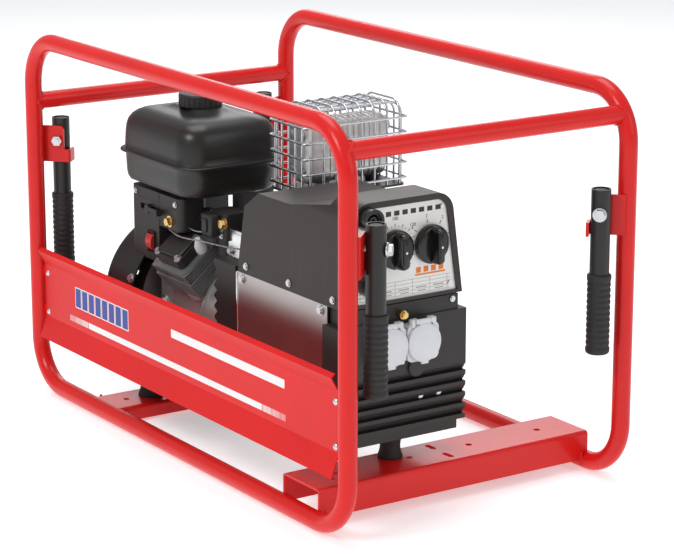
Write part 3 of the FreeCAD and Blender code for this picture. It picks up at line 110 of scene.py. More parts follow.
class Finish(Sheet):
    def __init__(self, name):
        self.material = bpy.data.materials.new(name)
        self.material.use_nodes = True
        super().__init__(self.material.node_tree)
        self.shader = self.tree.nodes["Principled BSDF"]
        self.place = self.put("ShaderNodeTexCoord").out("Object")

    def stretched(self, scale):
        return self.put("ShaderNodeMapping", {}, {"Vector": self.place, "Scale": scale}).out(0)

    def noise(self, scale, detail=2.0, place=None):
        values = {"Vector": place or self.place, "Scale": scale, "Detail": detail}
        return self.put("ShaderNodeTexNoise", {}, values).out(0)

    def cells(self, scale):
        values = {"Vector": self.place, "Scale": scale}
        return self.put("ShaderNodeTexVoronoi", {}, values).out(0)

    def mixed(self, factor, first, second):
        values = {"Factor": factor, 6: first, 7: second}
        return self.put("ShaderNodeMix", {"data_type": "RGBA"}, values).out(2)

    def relief(self, height, strength, distance):
        values = {"Height": height, "Strength": strength, "Distance": distance}
        return self.put("ShaderNodeBump", {}, values).out(0)

    def set(self, **values):
        for key, value in values.items():
            socket = self.shader.inputs[key.replace("_", " ")]
            if isinstance(value, Wire):
                self.tree.links.new(value.socket, socket)
            else:
                socket.default_value = value
        return self.material


def contrast(wire, gain):
    return (wire - 0.5) * gain + 0.5


# paints, metals and mouldings

def powderCoat(name, colour, roughness=0.3, coat=0.22):
    f = Finish(name)
    cloud = contrast(f.noise(7, 3), 1.6)
    peel = f.noise(650, 1)
    specks = f.noise(95, 4).over(0.69)          # dust nibs that sit in the coat
    return f.set(Base_Color=f.mixed(cloud, tint(colour, 0.9), tint(colour, 1.06)),
                 Roughness=cloud * 0.07 + specks * 0.12 + roughness,
                 Coat_Weight=coat, Coat_Roughness=0.1, Specular_IOR_Level=0.22,
                 Normal=f.relief(peel, 0.22, 0.0004))


def satinPaint(name, colour, roughness=0.42, grain=900):
    f = Finish(name)
    cloud = contrast(f.noise(14, 4), 1.8)
    rub = f.noise(60, 5, f.stretched((1, 1, 0.25))).over(0.66)     # lighter rubbed streaks
    body = f.mixed(cloud, tint(colour, 0.85), tint(colour, 1.18))
    return f.set(Base_Color=f.mixed(rub * 0.25, body, tint(colour, 2.2)),
                 Roughness=cloud * 0.1 + roughness,
                 Normal=f.relief(f.noise(grain, 2), 0.3, 0.0003))


def moulding(name, colour, roughness=0.5, grain=1500, depth=0.35):
    f = Finish(name)
    cloud = contrast(f.noise(10, 3), 1.5)
    leather = f.cells(grain)
    return f.set(Base_Color=f.mixed(cloud, tint(colour, 0.88), tint(colour, 1.15)),
                 Roughness=cloud * 0.08 + leather * 0.06 + roughness,
                 Normal=f.relief(leather, depth, 0.00025))


def castMetal(name, colour, roughness=0.46, grain=420):
    f = Finish(name)
    cloud = contrast(f.noise(22, 4), 1.7)
    sand = f.noise(grain, 5)
    stain = f.noise(48, 5).over(0.64)           # oil that has crept out of the joints
    body = f.mixed(cloud, tint(colour, 0.78), tint(colour, 1.12))
    return f.set(Base_Color=f.mixed(stain * 0.35, body, tint(colour, 0.45)), Metallic=0.85,
                 Roughness=sand * 0.18 + roughness - 0.09,
                 Normal=f.relief(sand, 0.45, 0.0005))


def brushedMetal(name, colour, roughness=0.3, along=(40, 1, 1), metal=1.0):
    f = Finish(name)
    streak = f.noise(60, 5, f.stretched(along))
    cloud = contrast(f.noise(9, 3), 1.5)
    return f.set(Base_Color=f.mixed(streak * 0.5 + cloud * 0.5, tint(colour, 0.8), tint(colour, 1.15)),
                 Metallic=metal, Roughness=streak * 0.2 + roughness - 0.1,
                 Normal=f.relief(streak, 0.12, 0.0002))


def plated(name, colour, roughness=0.2):
    f = Finish(name)
    cloud = contrast(f.noise(120, 4), 1.6)
    return f.set(Base_Color=f.mixed(cloud, tint(colour, 0.82), tint(colour, 1.1)), Metallic=1.0,
                 Roughness=cloud * 0.14 + roughness,
                 Normal=f.relief(f.noise(700, 3), 0.15, 0.0002))


def softRubber(name, colour, roughness=0.62):
    f = Finish(name)
    cloud = contrast(f.noise(30, 4), 1.8)
    bloom = f.noise(160, 5)
    return f.set(Base_Color=f.mixed(cloud, tint(colour, 0.8), tint(colour, 1.3)),
                 Roughness=bloom * 0.2 + roughness - 0.1,
                 Normal=f.relief(bloom, 0.4, 0.0004))


def heatStained(name, colour):
    f = Finish(name)
    cloud = contrast(f.noise(16, 5), 2.0)
    heat = contrast(f.noise(5, 2), 2.5)
    body = f.mixed(cloud, tint(colour, 0.8), tint(colour, 1.1))
    return f.set(Base_Color=f.mixed(heat * 0.35, body, (0.42, 0.33, 0.22, 1)), Metallic=0.9,
                 Roughness=cloud * 0.2 + 0.3,
                 Normal=f.relief(f.noise(240, 4), 0.25, 0.0005))


def printedInk(name, colour, roughness=0.45):
    f = Finish(name)
    worn = f.noise(700, 5).over(0.62)
    return f.set(Base_Color=f.mixed(worn * 0.12, tint(colour), tint(colour, 0.8)),
                 Roughness=worn * 0.15 + roughness)


red = (0.72, 0.012, 0.01)
redCoat = powderCoat("redPowderCoat", red)
panelCoat = powderCoat("redPanelCoat", (0.72, 0.01, 0.01), 0.4, 0.08)
blackTube = satinPaint("blackTubePaint", (0.014, 0.0125, 0.0115), 0.38)
gripRubber = softRubber("gripRubber", (0.014, 0.0125, 0.0115))
footRubber = softRubber("footRubber", (0.02, 0.019, 0.018), 0.7)
zinc = plated("zincPlate", (0.66, 0.67, 0.69), 0.24)
chromeWire = plated("chromeWire", (0.62, 0.64, 0.67), 0.16)
castAluminium = castMetal("castAluminium", (0.62, 0.62, 0.61))
darkCasting = castMetal("greyCasting", (0.3, 0.31, 0.31), 0.5)
finMetal = castMetal("finAluminium", (0.46, 0.47, 0.47), 0.42, 700)
machined = brushedMetal("machinedSteel", (0.5, 0.5, 0.51), 0.28, (1, 30, 30))
stainless = brushedMetal("stainlessSheet", (0.5, 0.475, 0.455), 0.34, (1.5, 1, 50))
# painted highlight: a lighter, glossier copy of the stainless sheet that stands for bent sheet catching the
# light
paintedHighlightSheet = brushedMetal("brightFold", (0.82, 0.82, 0.82), 0.2, (60, 60, 1))
hoodPaint = satinPaint("hoodPaint", (0.022, 0.014, 0.012), 0.36, 1300)
sheetBlack = satinPaint("blackSheetPaint", (0.013, 0.0125, 0.012), 0.34)
tankPlastic = moulding("tankPlastic", (0.014, 0.0125, 0.011), 0.28, 900, 0.1)
coverPlastic = moulding("coverPlastic", (0.015, 0.0125, 0.0115), 0.44)
capPlastic = moulding("endCapPlastic", (0.024, 0.0225, 0.0215), 0.46, 1100, 0.5)
knobPlastic = moulding("knobPlastic", (0.006, 0.006, 0.006), 0.14, 2200, 0.05)
whitePlastic = moulding("whitePlastic", (0.7, 0.72, 0.75), 0.3, 1800, 0.06)
redPlastic = moulding("redPlastic", (0.5, 0.02, 0.015), 0.28, 1800, 0.06)
mufflerSteel = heatStained("mufflerSteel", (0.7, 0.7, 0.69))
brass = plated("brass", (0.78, 0.53, 0.2), 0.22)
copper = plated("copperWinding", (0.7, 0.3, 0.14), 0.35)
plateFace = brushedMetal("plateFace", (0.8, 0.8, 0.77), 0.36, (1, 40, 1), 0.25)
whiteInk = printedInk("whiteInk", (0.86, 0.86, 0.86))
blueInk = printedInk("blueInk", (0.02, 0.05, 0.3))
blackInk = printedInk("blackInk", (0.02, 0.02, 0.02))
greyInk = printedInk("greyInk", (0.3, 0.3, 0.29))
orangeInk = printedInk("orangeInk", (0.85, 0.2, 0.01))

corners = ("front_left", "front_right", "back_left", "back_right")
finishes = (
    (redCoat, "front_loop back_loop cross_tubes engine_crossmember alternator_crossmember panel_tabs "
              "handle_brackets"),
    (panelCoat, "side_panel"),
    (zinc, "panel_rivets pivot_bolts mount_bolts"),
    (chromeWire, "muffler_guard"),
    (machined, "drive_shaft shaft_bearing"),
    (copper, "alternator_rotor"),
    (darkCasting, "stator_pack flywheel cylinder_head"),
    (castAluminium, "alternator_frame end_bracket bell_housing crankcase"),
    (sheetBlack, "engine_base support_brackets valve_cover blower_housing"),
    (coverPlastic, "carburettor cooling_fan recoil_cover starter_grip fuel_cap air_cleaner choke_lever "
                   "intake_louvre"),
    (footRubber, "rubber_mounts"),
    (hoodPaint, "hood"),
    (capPlastic, "end_cap"),
    (knobPlastic, "weld_socket_bodies current_knob range_knob"),
    (redPlastic, "stop_switch"),
    (mufflerSteel, "exhaust_pipe muffler"),
    (stainless, "alternator_casing"),
    (plateFace, "instrument_plate"),
    (brass, "terminals"),
    (whitePlastic, "outlet_lid_1 outlet_lid_2 outlet_bases outlet_inserts"),
    (finMetal, "cylinder"),
    (tankPlastic, "fuel_tank"),
    (blackTube, " ".join("handle_tube_" + corner for corner in corners)),
    (gripRubber, " ".join("handle_grip_" + corner for corner in corners)),
)
for material, names in finishes:
    for name in names.split():
        mesh = cadNodes[name].data
        mesh.materials.clear()
        mesh.materials.append(material)
print("finishes given to the frame's nodes")


# mesh helpers

up = (0, 0, 1)
toPanel, toRecoil = (1, 0, 0), (-1, 0, 0)
toFront, toBack = (0, -1, 0), (0, 1, 0)
creaseAngle = math.radians(35)


def place(name, bm, material, body="frame", smooth=True, instead=()):
    mesh = bpy.data.meshes.new(name)
    bmesh.ops.recalc_face_normals(bm, faces=bm.faces)
    bm.to_mesh(mesh)
    bm.free()
    placeMesh(name, mesh, material, body, smooth, instead)


def placeMesh(name, mesh, material, body="frame", smooth=True, instead=()):
    mesh.materials.clear()
    mesh.materials.append(material)
    for face in mesh.polygons:
        face.use_smooth = smooth
    if smooth:
        mesh.set_sharp_from_angle(angle=creaseAngle)
    piece = bpy.data.objects.new(name, mesh)
    bpy.context.scene.collection.objects.link(piece)
    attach(piece, body)
    if instead:
        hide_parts(*instead)


def ringFaces(bm, rings):
    built = [[bm.verts.new(p) for p in ring] for ring in rings]
    for low, high in zip(built, built[1:]):
        for i in range(len(low)):
            j = (i + 1) % len(low)
            bm.faces.new((low[i], low[j], high[j], high[i]))
    for ring in (built[0], built[-1]):
        centre = bm.verts.new(sum((v.co for v in ring), Vector()) / len(ring))
        for i in range(len(ring)):
            bm.faces.new((ring[i], ring[(i + 1) % len(ring)], centre))


def turned(bm, profile, origin, axis, segments=40):
    # solid of revolution: the profile is (radius, height) and its two ends are closed with a disc
    turn = Vector(up).rotation_difference(Vector(axis)).to_matrix()
    rings = []
    for radius, height in profile:
        ring = []
        for k in range(segments):
            angle = 2 * math.pi * k / segments
            point = Vector((radius * math.cos(angle), radius * math.sin(angle), height))
            ring.append(Vector(origin) + turn @ point)
        rings.append(ring)
    ringFaces(bm, rings)


def block(bm, low, high, bevel=0.0, segments=2):
    made = bmesh.ops.create_cube(bm, size=1.0)["verts"]
    size = [b - a for a, b in zip(low, high)]
    for v in made:
        v.co = Vector([a + (c + 0.5) * s for a, c, s in zip(low, v.co, size)])
    if bevel:
        edges = {e for v in made for e in v.link_edges}
        bmesh.ops.bevel(bm, geom=list(edges), offset=bevel, segments=segments, profile=0.5, affect="EDGES")


def turnedPiece(name, profile, at, axis, segments, material, body="frame", instead=()):
    bm = bmesh.new()
    turned(bm, profile, at, axis, segments)
    place(name, bm, material, body, instead=instead)


def blockPiece(name, blocks, material, smooth=True, segments=2):
    # each block is its low corner, its high corner and its rounding
    bm = bmesh.new()
    for low, high, bevel in blocks:
        block(bm, low, high, bevel, segments)
    place(name, bm, material, smooth=smooth)


def roundedRing(centre, halfX, halfY, radius, z, perCorner=10):
    radius = min(radius, halfX, halfY)
    ring = []
    for k, (sx, sy) in enumerate(((1, 1), (-1, 1), (-1, -1), (1, -1))):
        for i in range(perCorner + 1):
            angle = math.pi / 2 * (k + i / perCorner)
            ring.append(Vector((centre[0] + sx * (halfX - radius) + radius * math.cos(angle),
                                centre[1] + sy * (halfY - radius) + radius * math.sin(angle), z)))
    return ring


def wireRun(name, points, radius, material):
    curve = bpy.data.curves.new(name, "CURVE")
    curve.dimensions = "3D"
    curve.bevel_depth = radius
    curve.bevel_resolution = 3
    curve.use_fill_caps = True
    spline = curve.splines.new("BEZIER")
    spline.bezier_points.add(len(points) - 1)
    for knot, p in zip(spline.bezier_points, points):
        knot.co = p
        knot.handle_left_type = knot.handle_right_type = "AUTO"
    holder = bpy.data.objects.new(name, curve)
    mesh = bpy.data.meshes.new_from_object(holder)
    bpy.data.objects.remove(holder)
    placeMesh(name, mesh, material)


def written(name, text, size, at, turn, material):
    curve = bpy.data.curves.new(name, "FONT")
    curve.body = text
    curve.size = size
    curve.extrude = 0.0001
    curve.align_x = "CENTER"
    curve.align_y = "CENTER"
    holder = bpy.data.objects.new(name, curve)
    mesh = bpy.data.meshes.new_from_object(holder)
    bpy.data.objects.remove(holder)
    mesh.transform(Matrix.Translation(at) @ turn)
    placeMesh(name, mesh, material, smooth=False)


# geometry node trees

def startTree(name, inputs):
    tree = bpy.data.node_groups.new(name, "GeometryNodeTree")
    tree.interface.new_socket("Geometry", in_out="INPUT", socket_type="NodeSocketGeometry")
    for label, kind in inputs:
        tree.interface.new_socket(label, in_out="INPUT", socket_type="NodeSocket" + kind)
    tree.interface.new_socket("Geometry", in_out="OUTPUT", socket_type="NodeSocketGeometry")
    sheet = Sheet(tree)
    return sheet, sheet.put("NodeGroupInput")


def finishTree(sheet, geometry, given):
    real = sheet.put("GeometryNodeRealizeInstances", {}, {0: geometry}).out(0)
    painted = sheet.put("GeometryNodeSetMaterial", {}, {0: real, "Material": given.out("Finish")}).out(0)
    sheet.put("NodeGroupOutput", {}, {0: painted})
    return sheet.tree


def grow(name, tree, values, mesh, material, smooth=True, matrix=None):
    holder = bpy.data.objects.new(name + "Seed", mesh)
    bpy.context.scene.collection.objects.link(holder)
    modifier = holder.modifiers.new("grow", "NODES")
    modifier.node_group = tree
    for item in tree.interface.items_tree:
        if item.in_out == "INPUT" and item.name in values:
            modifier[item.identifier] = values[item.name]
        if item.in_out == "INPUT" and item.name == "Finish":
            modifier[item.identifier] = material
    bpy.context.view_layer.update()
    grown = holder.evaluated_get(bpy.context.evaluated_depsgraph_get())
    result = bpy.data.meshes.new_from_object(grown)
    bpy.data.objects.remove(holder)
    result.name = name
    if matrix:
        result.transform(matrix)
    placeMesh(name, result, material, smooth=smooth)


def fastenerTree():
    # a head on each point, facing along the point's "aim"
    sheet, given = startTree("fastenerHeads", [("Sides", "Int"), ("Radius", "Float"), ("Height", "Float"),
                                               ("Washer", "Float"), ("Finish", "Material")])
    height = given.out("Height")
    head = sheet.put("GeometryNodeMeshCylinder", {},
                     {"Vertices": given.out("Sides"), "Radius": given.out("Radius"), "Depth": height}).out(0)
    lifted = sheet.put("ShaderNodeCombineXYZ", {}, {"Z": height * 0.5 + washers["headFoot"]}).out(0)
    head = sheet.put("GeometryNodeTransform", {}, {0: head, "Translation": lifted}).out(0)
    washer = sheet.put("GeometryNodeMeshCylinder", {},
                       {"Vertices": washers["sides"], "Radius": given.out("Washer"),
                        "Depth": washers["thick"]}).out(0)
    washer = sheet.put("GeometryNodeTransform", {},
                       {0: washer, "Translation": (0, 0, washers["thick"] / 2)}).out(0)
    both = sheet.put("GeometryNodeJoinGeometry")
    for wire in (head, washer):
        sheet.tree.links.new(wire.socket, both.node.inputs[0])
    aim = sheet.put("GeometryNodeInputNamedAttribute", {"data_type": "FLOAT_VECTOR"}, {"Name": "aim"}).out(0)
    facing = sheet.put("FunctionNodeAlignRotationToVector", {"axis": "Z"}, {"Vector": aim}).out(0)
    heads = sheet.put("GeometryNodeInstanceOnPoints", {},
                      {"Points": given.out(0), "Instance": both.out(0), "Rotation": facing}).out(0)
    return finishTree(sheet, heads, given)


washers = {"sides": 24, "thick": 0.0012, "headFoot": 0.001}
headSizes = {           # sides, head radius, head height, washer radius
    "valveCoverBolts": (6, 0.0038, 0.004, 0.006), "caseBolts": (6, 0.0045, 0.005, 0.0075),
    "bellBolts": (6, 0.0035, 0.003, 0.005), "blowerBolts": (6, 0.004, 0.004, 0.0065),
    "recoilScrews": (6, 0.0035, 0.003, 0.0055), "coverKnobs": (6, 0.0055, 0.006, 0.008),
    "coverScrews": (12, 0.003, 0.002, 0.004), "brassDrain": (6, 0.0062, 0.006, 0.008),
    "carbScrews": (12, 0.0028, 0.002, 0.004), "bracketScrews": (6, 0.0042, 0.004, 0.0065),
    "mufflerNuts": (6, 0.0042, 0.004, 0.0065), "casingScrews": (12, 0.0048, 0.0026, 0.0065),
    "hoodScrews": (12, 0.0036, 0.002, 0.005), "plateScrews": (14, 0.0027, 0.0008, 0.003),
    "outletScrews": (12, 0.002, 0.0008, 0.0024), "capScrews": (12, 0.0036, 0.002, 0.0048),
    "casePanelScrew": (12, 0.003, 0.0012, 0.004), "earthNut": (6, 0.0048, 0.004, 0.0056),
}
fasteners = fastenerTree()


def heads(name, spots, material=zinc):
    mesh = bpy.data.meshes.new(name)
    mesh.from_pydata([p for p, aim in spots], [], [])
    aims = mesh.attributes.new("aim", "FLOAT_VECTOR", "POINT")
    aims.data.foreach_set("vector", [c for p, aim in spots for c in aim])
    sides, radius, height, washer = headSizes[name]
    values = {"Sides": sides, "Radius": radius, "Height": height, "Washer": washer}
    grow(name, fasteners, values, mesh, material, smooth=sides > 8)         # hexagons stay faceted


def beadTree():
    # short overlapping pads along a line, as a welder lays them
    sheet, given = startTree("weldBead", [("Pitch", "Float"), ("Radius", "Float"), ("Finish", "Material")])
    line = sheet.put("GeometryNodeMeshToCurve", {}, {0: given.out(0)}).out(0)
    points = sheet.put("GeometryNodeCurveToPoints", {"mode": "LENGTH"},
                       {0: line, "Length": given.out("Pitch")}).out(0)
    pad = sheet.put("GeometryNodeMeshIcoSphere", {},
                    {"Radius": given.out("Radius"), "Subdivisions": bead["rounds"]}).out(0)
    size = sheet.put("FunctionNodeRandomValue", {"data_type": "FLOAT"},
                     {2: bead["least"], 3: bead["most"], "Seed": bead["seed"]}).out(1)
    laid = sheet.put("GeometryNodeInstanceOnPoints", {},
                     {"Points": points, "Instance": pad, "Scale": size}).out(0)
    return finishTree(sheet, laid, given)


bead = {"pitch": 0.0022, "rounds": 2, "least": 0.88, "most": 1.12, "seed": 4}
weldBead = beadTree()


def weld(name, lines, radius):
    points = []
    edges = []
    for line in lines:
        start = len(points)
        points.extend(line)
        edges.extend((start + i, start + i + 1) for i in range(len(line) - 1))
    mesh = bpy.data.meshes.new(name)
    mesh.from_pydata(points, edges, [])
    grow(name, weldBead, {"Pitch": bead["pitch"], "Radius": radius}, mesh, redCoat)


def rowTree():
    # the same bar repeated in a straight row
    sheet, given = startTree("barRow", [("Count", "Int"), ("Start", "Vector"), ("Step", "Vector"),
                                        ("Size", "Vector"), ("Finish", "Material")])
    row = sheet.put("GeometryNodeMeshLine", {"mode": "OFFSET"},
                    {"Count": given.out("Count"), "Start Location": given.out("Start"),
                     "Offset": given.out("Step")}).out(0)
    bar = sheet.put("GeometryNodeMeshCube", {}, {"Size": given.out("Size")}).out(0)
    bars = sheet.put("GeometryNodeInstanceOnPoints", {}, {"Points": row, "Instance": bar}).out(0)
    return finishTree(sheet, bars, given)


barRow = rowTree()


def bars(name, count, start, step, size, material, matrix=None):
    values = {"Count": count, "Start": start, "Step": step, "Size": size}
    grow(name, barRow, values, bpy.data.meshes.new(name), material, smooth=False, matrix=matrix)


def fanTree():
    # marks spread around a centre, on a face that looks along +X
    sheet, given = startTree("dialMarks", [("Count", "Int"), ("First", "Float"), ("Turn", "Float"),
                                           ("Radius", "Float"), ("Length", "Float"), ("Width", "Float"),
                                           ("Finish", "Material")])
    line = sheet.put("GeometryNodeMeshLine", {"mode": "OFFSET"},
                     {"Count": given.out("Count"), "Offset": (0, 0, 0)}).out(0)
    number = sheet.put("GeometryNodeInputIndex").out(0)
    angle = number * given.out("Turn") + given.out("First")
    spin = sheet.put("ShaderNodeCombineXYZ", {}, {"X": angle}).out(0)
    size = sheet.put("ShaderNodeCombineXYZ", {},
                     {"X": markThick, "Y": given.out("Length"), "Z": given.out("Width")}).out(0)
    mark = sheet.put("GeometryNodeMeshCube", {}, {"Size": size}).out(0)
    away = sheet.put("ShaderNodeCombineXYZ", {}, {"Y": given.out("Radius")}).out(0)
    mark = sheet.put("GeometryNodeTransform", {}, {0: mark, "Translation": away}).out(0)
    marks = sheet.put("GeometryNodeInstanceOnPoints", {},
                      {"Points": line, "Instance": mark, "Rotation": spin}).out(0)
    return finishTree(sheet, marks, given)


markThick = 0.0002
dialMarks = fanTree()


def dial(name, centre, count, first, turn, radius, length, width):
    values = {"Count": count, "First": math.radians(first), "Turn": math.radians(turn), "Radius": radius,
              "Length": length, "Width": width}
    grow(name, dialMarks, values, bpy.data.meshes.new(name), blackInk, smooth=False,
         matrix=Matrix.Translation(centre))


# tube frame: welds and panel print

tubes = {"tube": 0.012, "halfSpan": 0.212, "halfLength": 0.398, "leftTubeZ": 0.421,
         "rightTube": (0.386, 0.483)}
welds = {"steps": 40, "sunk": 0.97, "spread": 1.03, "inward": 0.0004, "tubeBead": 0.0018,
         "memberBead": 0.002, "memberReach": 0.92, "memberZ": (0.008, 0.0235), "bracketBead": 0.0016,
         "bracketZ": (0.3335, 0.3825), "plateAlong": 0.0058, "plateAcross": 0.0111}


def tubeJoint(x, z, side):
    # line where a cross tube meets the loop's tube
    r = tubes["tube"]
    line = []
    for k in range(welds["steps"] + 1):
        angle = 2 * math.pi * k / welds["steps"]
        across = r * math.cos(angle)
        y = tubes["halfSpan"] - math.sqrt(max(r * r - across * across, 0)) * welds["sunk"]
        line.append((x + across * welds["spread"], side * (y - welds["inward"]),
                     z + r * math.sin(angle) * welds["spread"]))
    return line


leftTube = (-tubes["halfLength"], tubes["leftTubeZ"])
tubeLines = [tubeJoint(x, z, side) for x, z in (leftTube, tubes["rightTube"]) for side in (-1, 1)]
weld("tubeWelds", tubeLines, welds["tubeBead"])
memberY = tubes["halfSpan"] - tubes["tube"] * welds["memberReach"]
memberFoot, memberTop = welds["memberZ"]
memberLines = []
for low, high in (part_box("engine_crossmember"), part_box("alternator_crossmember")):
    for y in (-memberY, memberY):
        for x in (low[0], high[0]):
            memberLines.append([(x, y, memberFoot), (x, y, min(high[2], memberTop))])
weld("memberWelds", memberLines, welds["memberBead"])
bracketLines = []
for sx in (-1, 1):
    for sy in (-1, 1):
        along = Vector((-sx, -sy, 0)).normalized()
        across = Vector((sx, -sy, 0)).normalized()
        post = Vector((sx * tubes["halfLength"], sy * tubes["halfSpan"], 0))
        # only behind the plate, clear of the swinging tube
        foot = post + along * welds["plateAlong"] + across * welds["plateAcross"]
        bracketLines.append([tuple(foot + Vector((0, 0, z))) for z in welds["bracketZ"]])
weld("bracketWelds", bracketLines, welds["bracketBead"])

panelPrint = {"face": -0.2121, "ink": 0.0002, "bandLow": (0.1205, 0.1290), "bandHigh": (0.1625, 0.1740),
              "lowSpan": (-0.250, 0.205), "highSpan": (-0.020, 0.258)}
badge = {"count": 8, "start": (-0.2790, -0.2120, 0.1580), "pitch": (0.0192, 0, 0),
         "block": (0.0148, 0.0002, 0.0270), "edge": 0.0030, "proud": 0.0001}
fade = {"parts": 3, "partLength": 0.018, "bars": 6, "pitch": 0.003, "wide": 0.0019, "thins": 0.0005,
        "sunk": 0.0001}


def printBand(name, spanX, spanZ):
    face = panelPrint["face"]
    low = (spanX[0], face, spanZ[0])
    high = (spanX[1], face + panelPrint["ink"], spanZ[1])
    blockPiece(name, [(low, high, 0)], whiteInk, False)


printBand("lowerBand", panelPrint["lowSpan"], panelPrint["bandLow"])
printBand("upperBand", panelPrint["highSpan"], panelPrint["bandHigh"])
wide, thick, tall = badge["block"]
edgeBlock = (wide + badge["edge"], thick, tall + badge["edge"])
x, y, z = badge["start"]
bars("badgeEdges", badge["count"], badge["start"], badge["pitch"], edgeBlock, whiteInk)
bars("badgeBlocks", badge["count"], (x, y - badge["proud"], z), badge["pitch"], badge["block"], blueInk)
bandFoot, bandTop = panelPrint["bandLow"]
inkY = panelPrint["face"] + fade["sunk"]
fadeEnds = (("fadeLeft", panelPrint["lowSpan"][0], -1), ("fadeRight", panelPrint["lowSpan"][1], 1))
for label, edge, way in fadeEnds:
    for part in range(fade["parts"]):       # the bars get thinner from part to part
        start = (edge + way * (fade["pitch"] + part * fade["partLength"]), inkY, (bandFoot + bandTop) / 2)
        size = (fade["wide"] - part * fade["thins"], panelPrint["ink"], bandTop - bandFoot)
        bars(label + str(part), fade["bars"], start, (way * fade["pitch"], 0, 0), size, whiteInk)
print("tube frame done")


# carrying handles: ribbed grips and top plugs

grip = {"radius": 0.0155, "waist": 0.0143, "bore": 0.0126, "floor": 0.0026, "ribs": 11,
        "plain": 0.010, "lead": 0.002, "collar": 0.006, "shoulder": 0.004, "edge": 0.0012,
        "tip": 0.004, "tipSteps": 4,
        "ribShape": ((0, 0), (0.2, 0.0001), (0.36, 0.0008), (0.8, 0.0008), (0.95, 0.0001))}
plugShape = ((0.0, -0.006), (0.0102, -0.006), (0.0102, -0.0022), (0.0085, -0.0012), (0.004, -0.0008),
             (0.0, -0.0007))        # radius and height from the tube's top


def gripProfile(bottom, top):
    r, waist, tip, edge = (grip[key] for key in ("radius", "waist", "tip", "edge"))
    profile = [(0.0, bottom)]
    for k in range(grip["tipSteps"] + 1):
        angle = math.pi / 2 * k / grip["tipSteps"]
        profile.append((r - tip + tip * math.sin(angle), bottom + tip * (1 - math.cos(angle))))
    low = bottom + grip["plain"]
    high = top - grip["collar"] - grip["shoulder"]
    profile.append((r, low - grip["lead"]))
    pitch = (high - low) / grip["ribs"]
    for k in range(grip["ribs"]):
        z = low + k * pitch
        profile += [(waist + rise, z + pitch * share) for share, rise in grip["ribShape"]]
    bore, floor = grip["bore"], bottom + grip["floor"]
    profile += [(waist, high), (r - 0.0003, high + grip["lead"]), (r, high + 0.0035), (r, top - edge),
                (r - edge, top), (bore, top), (bore, floor), (0.0, floor)]
    return profile


for corner in corners:
    body = "handle_" + corner
    low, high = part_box("handle_grip_" + corner)
    centre = ((low[0] + high[0]) / 2, (low[1] + high[1]) / 2, 0)
    turnedPiece("ribbedGrip_" + corner, gripProfile(low[2], high[2]), centre, up, 36, gripRubber, body,
                ("handle_grip_" + corner,))
    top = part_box("handle_tube_" + corner)[1][2]
    plug = [(radius, top + height) for radius, height in plugShape]
    turnedPiece("tubePlug_" + corner, plug, centre, up, 28, coverPlastic, body)
print("handles done")


# fuel tank: blow-moulded shell with a pinched seam and a crowned top

tank = {"corner": 0.036, "leastCorner": 0.006, "cornerShare": 0.6, "seam": 0.374, "lip": 0.0042,
        "neck": 0.008,
        "foot": ((0.060, 0), (0.022, 0), (0.0125, 0.0008), (0.0068, 0.0035), (0.0042, 0.0085),
                 (0.0032, 0.016), (0.0026, 0.030)),        # inset and height above the bottom
        "pinch": ((0.0022, -0.004), (0.0012, -0.0022), (-0.0028, -0.0018), (-0.0042, -0.0009),
                  (-0.0042, 0.0007), (-0.003, 0.0018), (0.0, 0.0022), (0.0014, 0.0042)),
        "crown": ((0.0017, 0.012), (0.0024, 0.026), (0.0036, 0.036), (0.0062, 0.0435),
                  (0.0105, 0.0495), (0.0165, 0.054), (0.024, 0.0572), (0.033, 0.0592),
                  (0.042, 0.0603))}        # inset and height from the seam
capRing = ((0.0, -0.0012), (0.0195, -0.0012), (0.0205, -0.0002), (0.0225, 0.0004), (0.0245, -0.0002),
           (0.0255, -0.0014), (0.0, -0.0022))        # radius and height from the cap's top
tankLow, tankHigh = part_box("fuel_tank")
capLow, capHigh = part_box("fuel_cap")
capX, capY = (capLow[0] + capHigh[0]) / 2, (capLow[1] + capHigh[1]) / 2


def buildTank():
    centre = ((tankLow[0] + tankHigh[0]) / 2, (tankLow[1] + tankHigh[1]) / 2)
    halfX = (tankHigh[0] - tankLow[0]) / 2 - tank["lip"]
    halfY = (tankHigh[1] - tankLow[1]) / 2 - tank["lip"]
    levels = [(inset, tankLow[2] + z) for inset, z in tank["foot"]]
    levels += [(inset, tank["seam"] + z) for inset, z in tank["pinch"] + tank["crown"]]
    rings = []
    for inset, z in levels:
        corner = max(tank["corner"] - inset * tank["cornerShare"], tank["leastCorner"])
        rings.append(roundedRing(centre, halfX - inset, halfY - inset, corner, z))
    last = rings[-1]
    rim = tankHigh[2]
    top = rim - tank["neck"]
    # the crown turns into a round neck under the cap: radius, height, share of the way to a circle
    for radius, z, share in ((0.043, top - 0.0032, 0.75), (0.0395, top - 0.001, 1),
                             (0.0365, top - 0.0002, 1), (0.033, top, 1), (0.0215, top, 1),
                             (0.0212, rim - 0.0006, 1), (0.0205, rim, 1)):
        ring = []
        for p in last:
            away = Vector((p.x - capX, p.y - capY, 0)).normalized() * radius
            target = Vector((capX + away.x, capY + away.y, z))
            ring.append(p.lerp(target, share) if share < 1 else target)
        rings.append(ring)
    bm = bmesh.new()
    ringFaces(bm, rings)
    place("tankShell", bm, tankPlastic, instead=("fuel_tank",))


buildTank()
ringProfile = [(radius, capHigh[2] + height) for radius, height in capRing]
turnedPiece("capRing", ringProfile, (capX, capY, 0), up, 48, coverPlastic, "cap")
print("fuel tank done")


# engine: fins, head bolts, castings, linkage

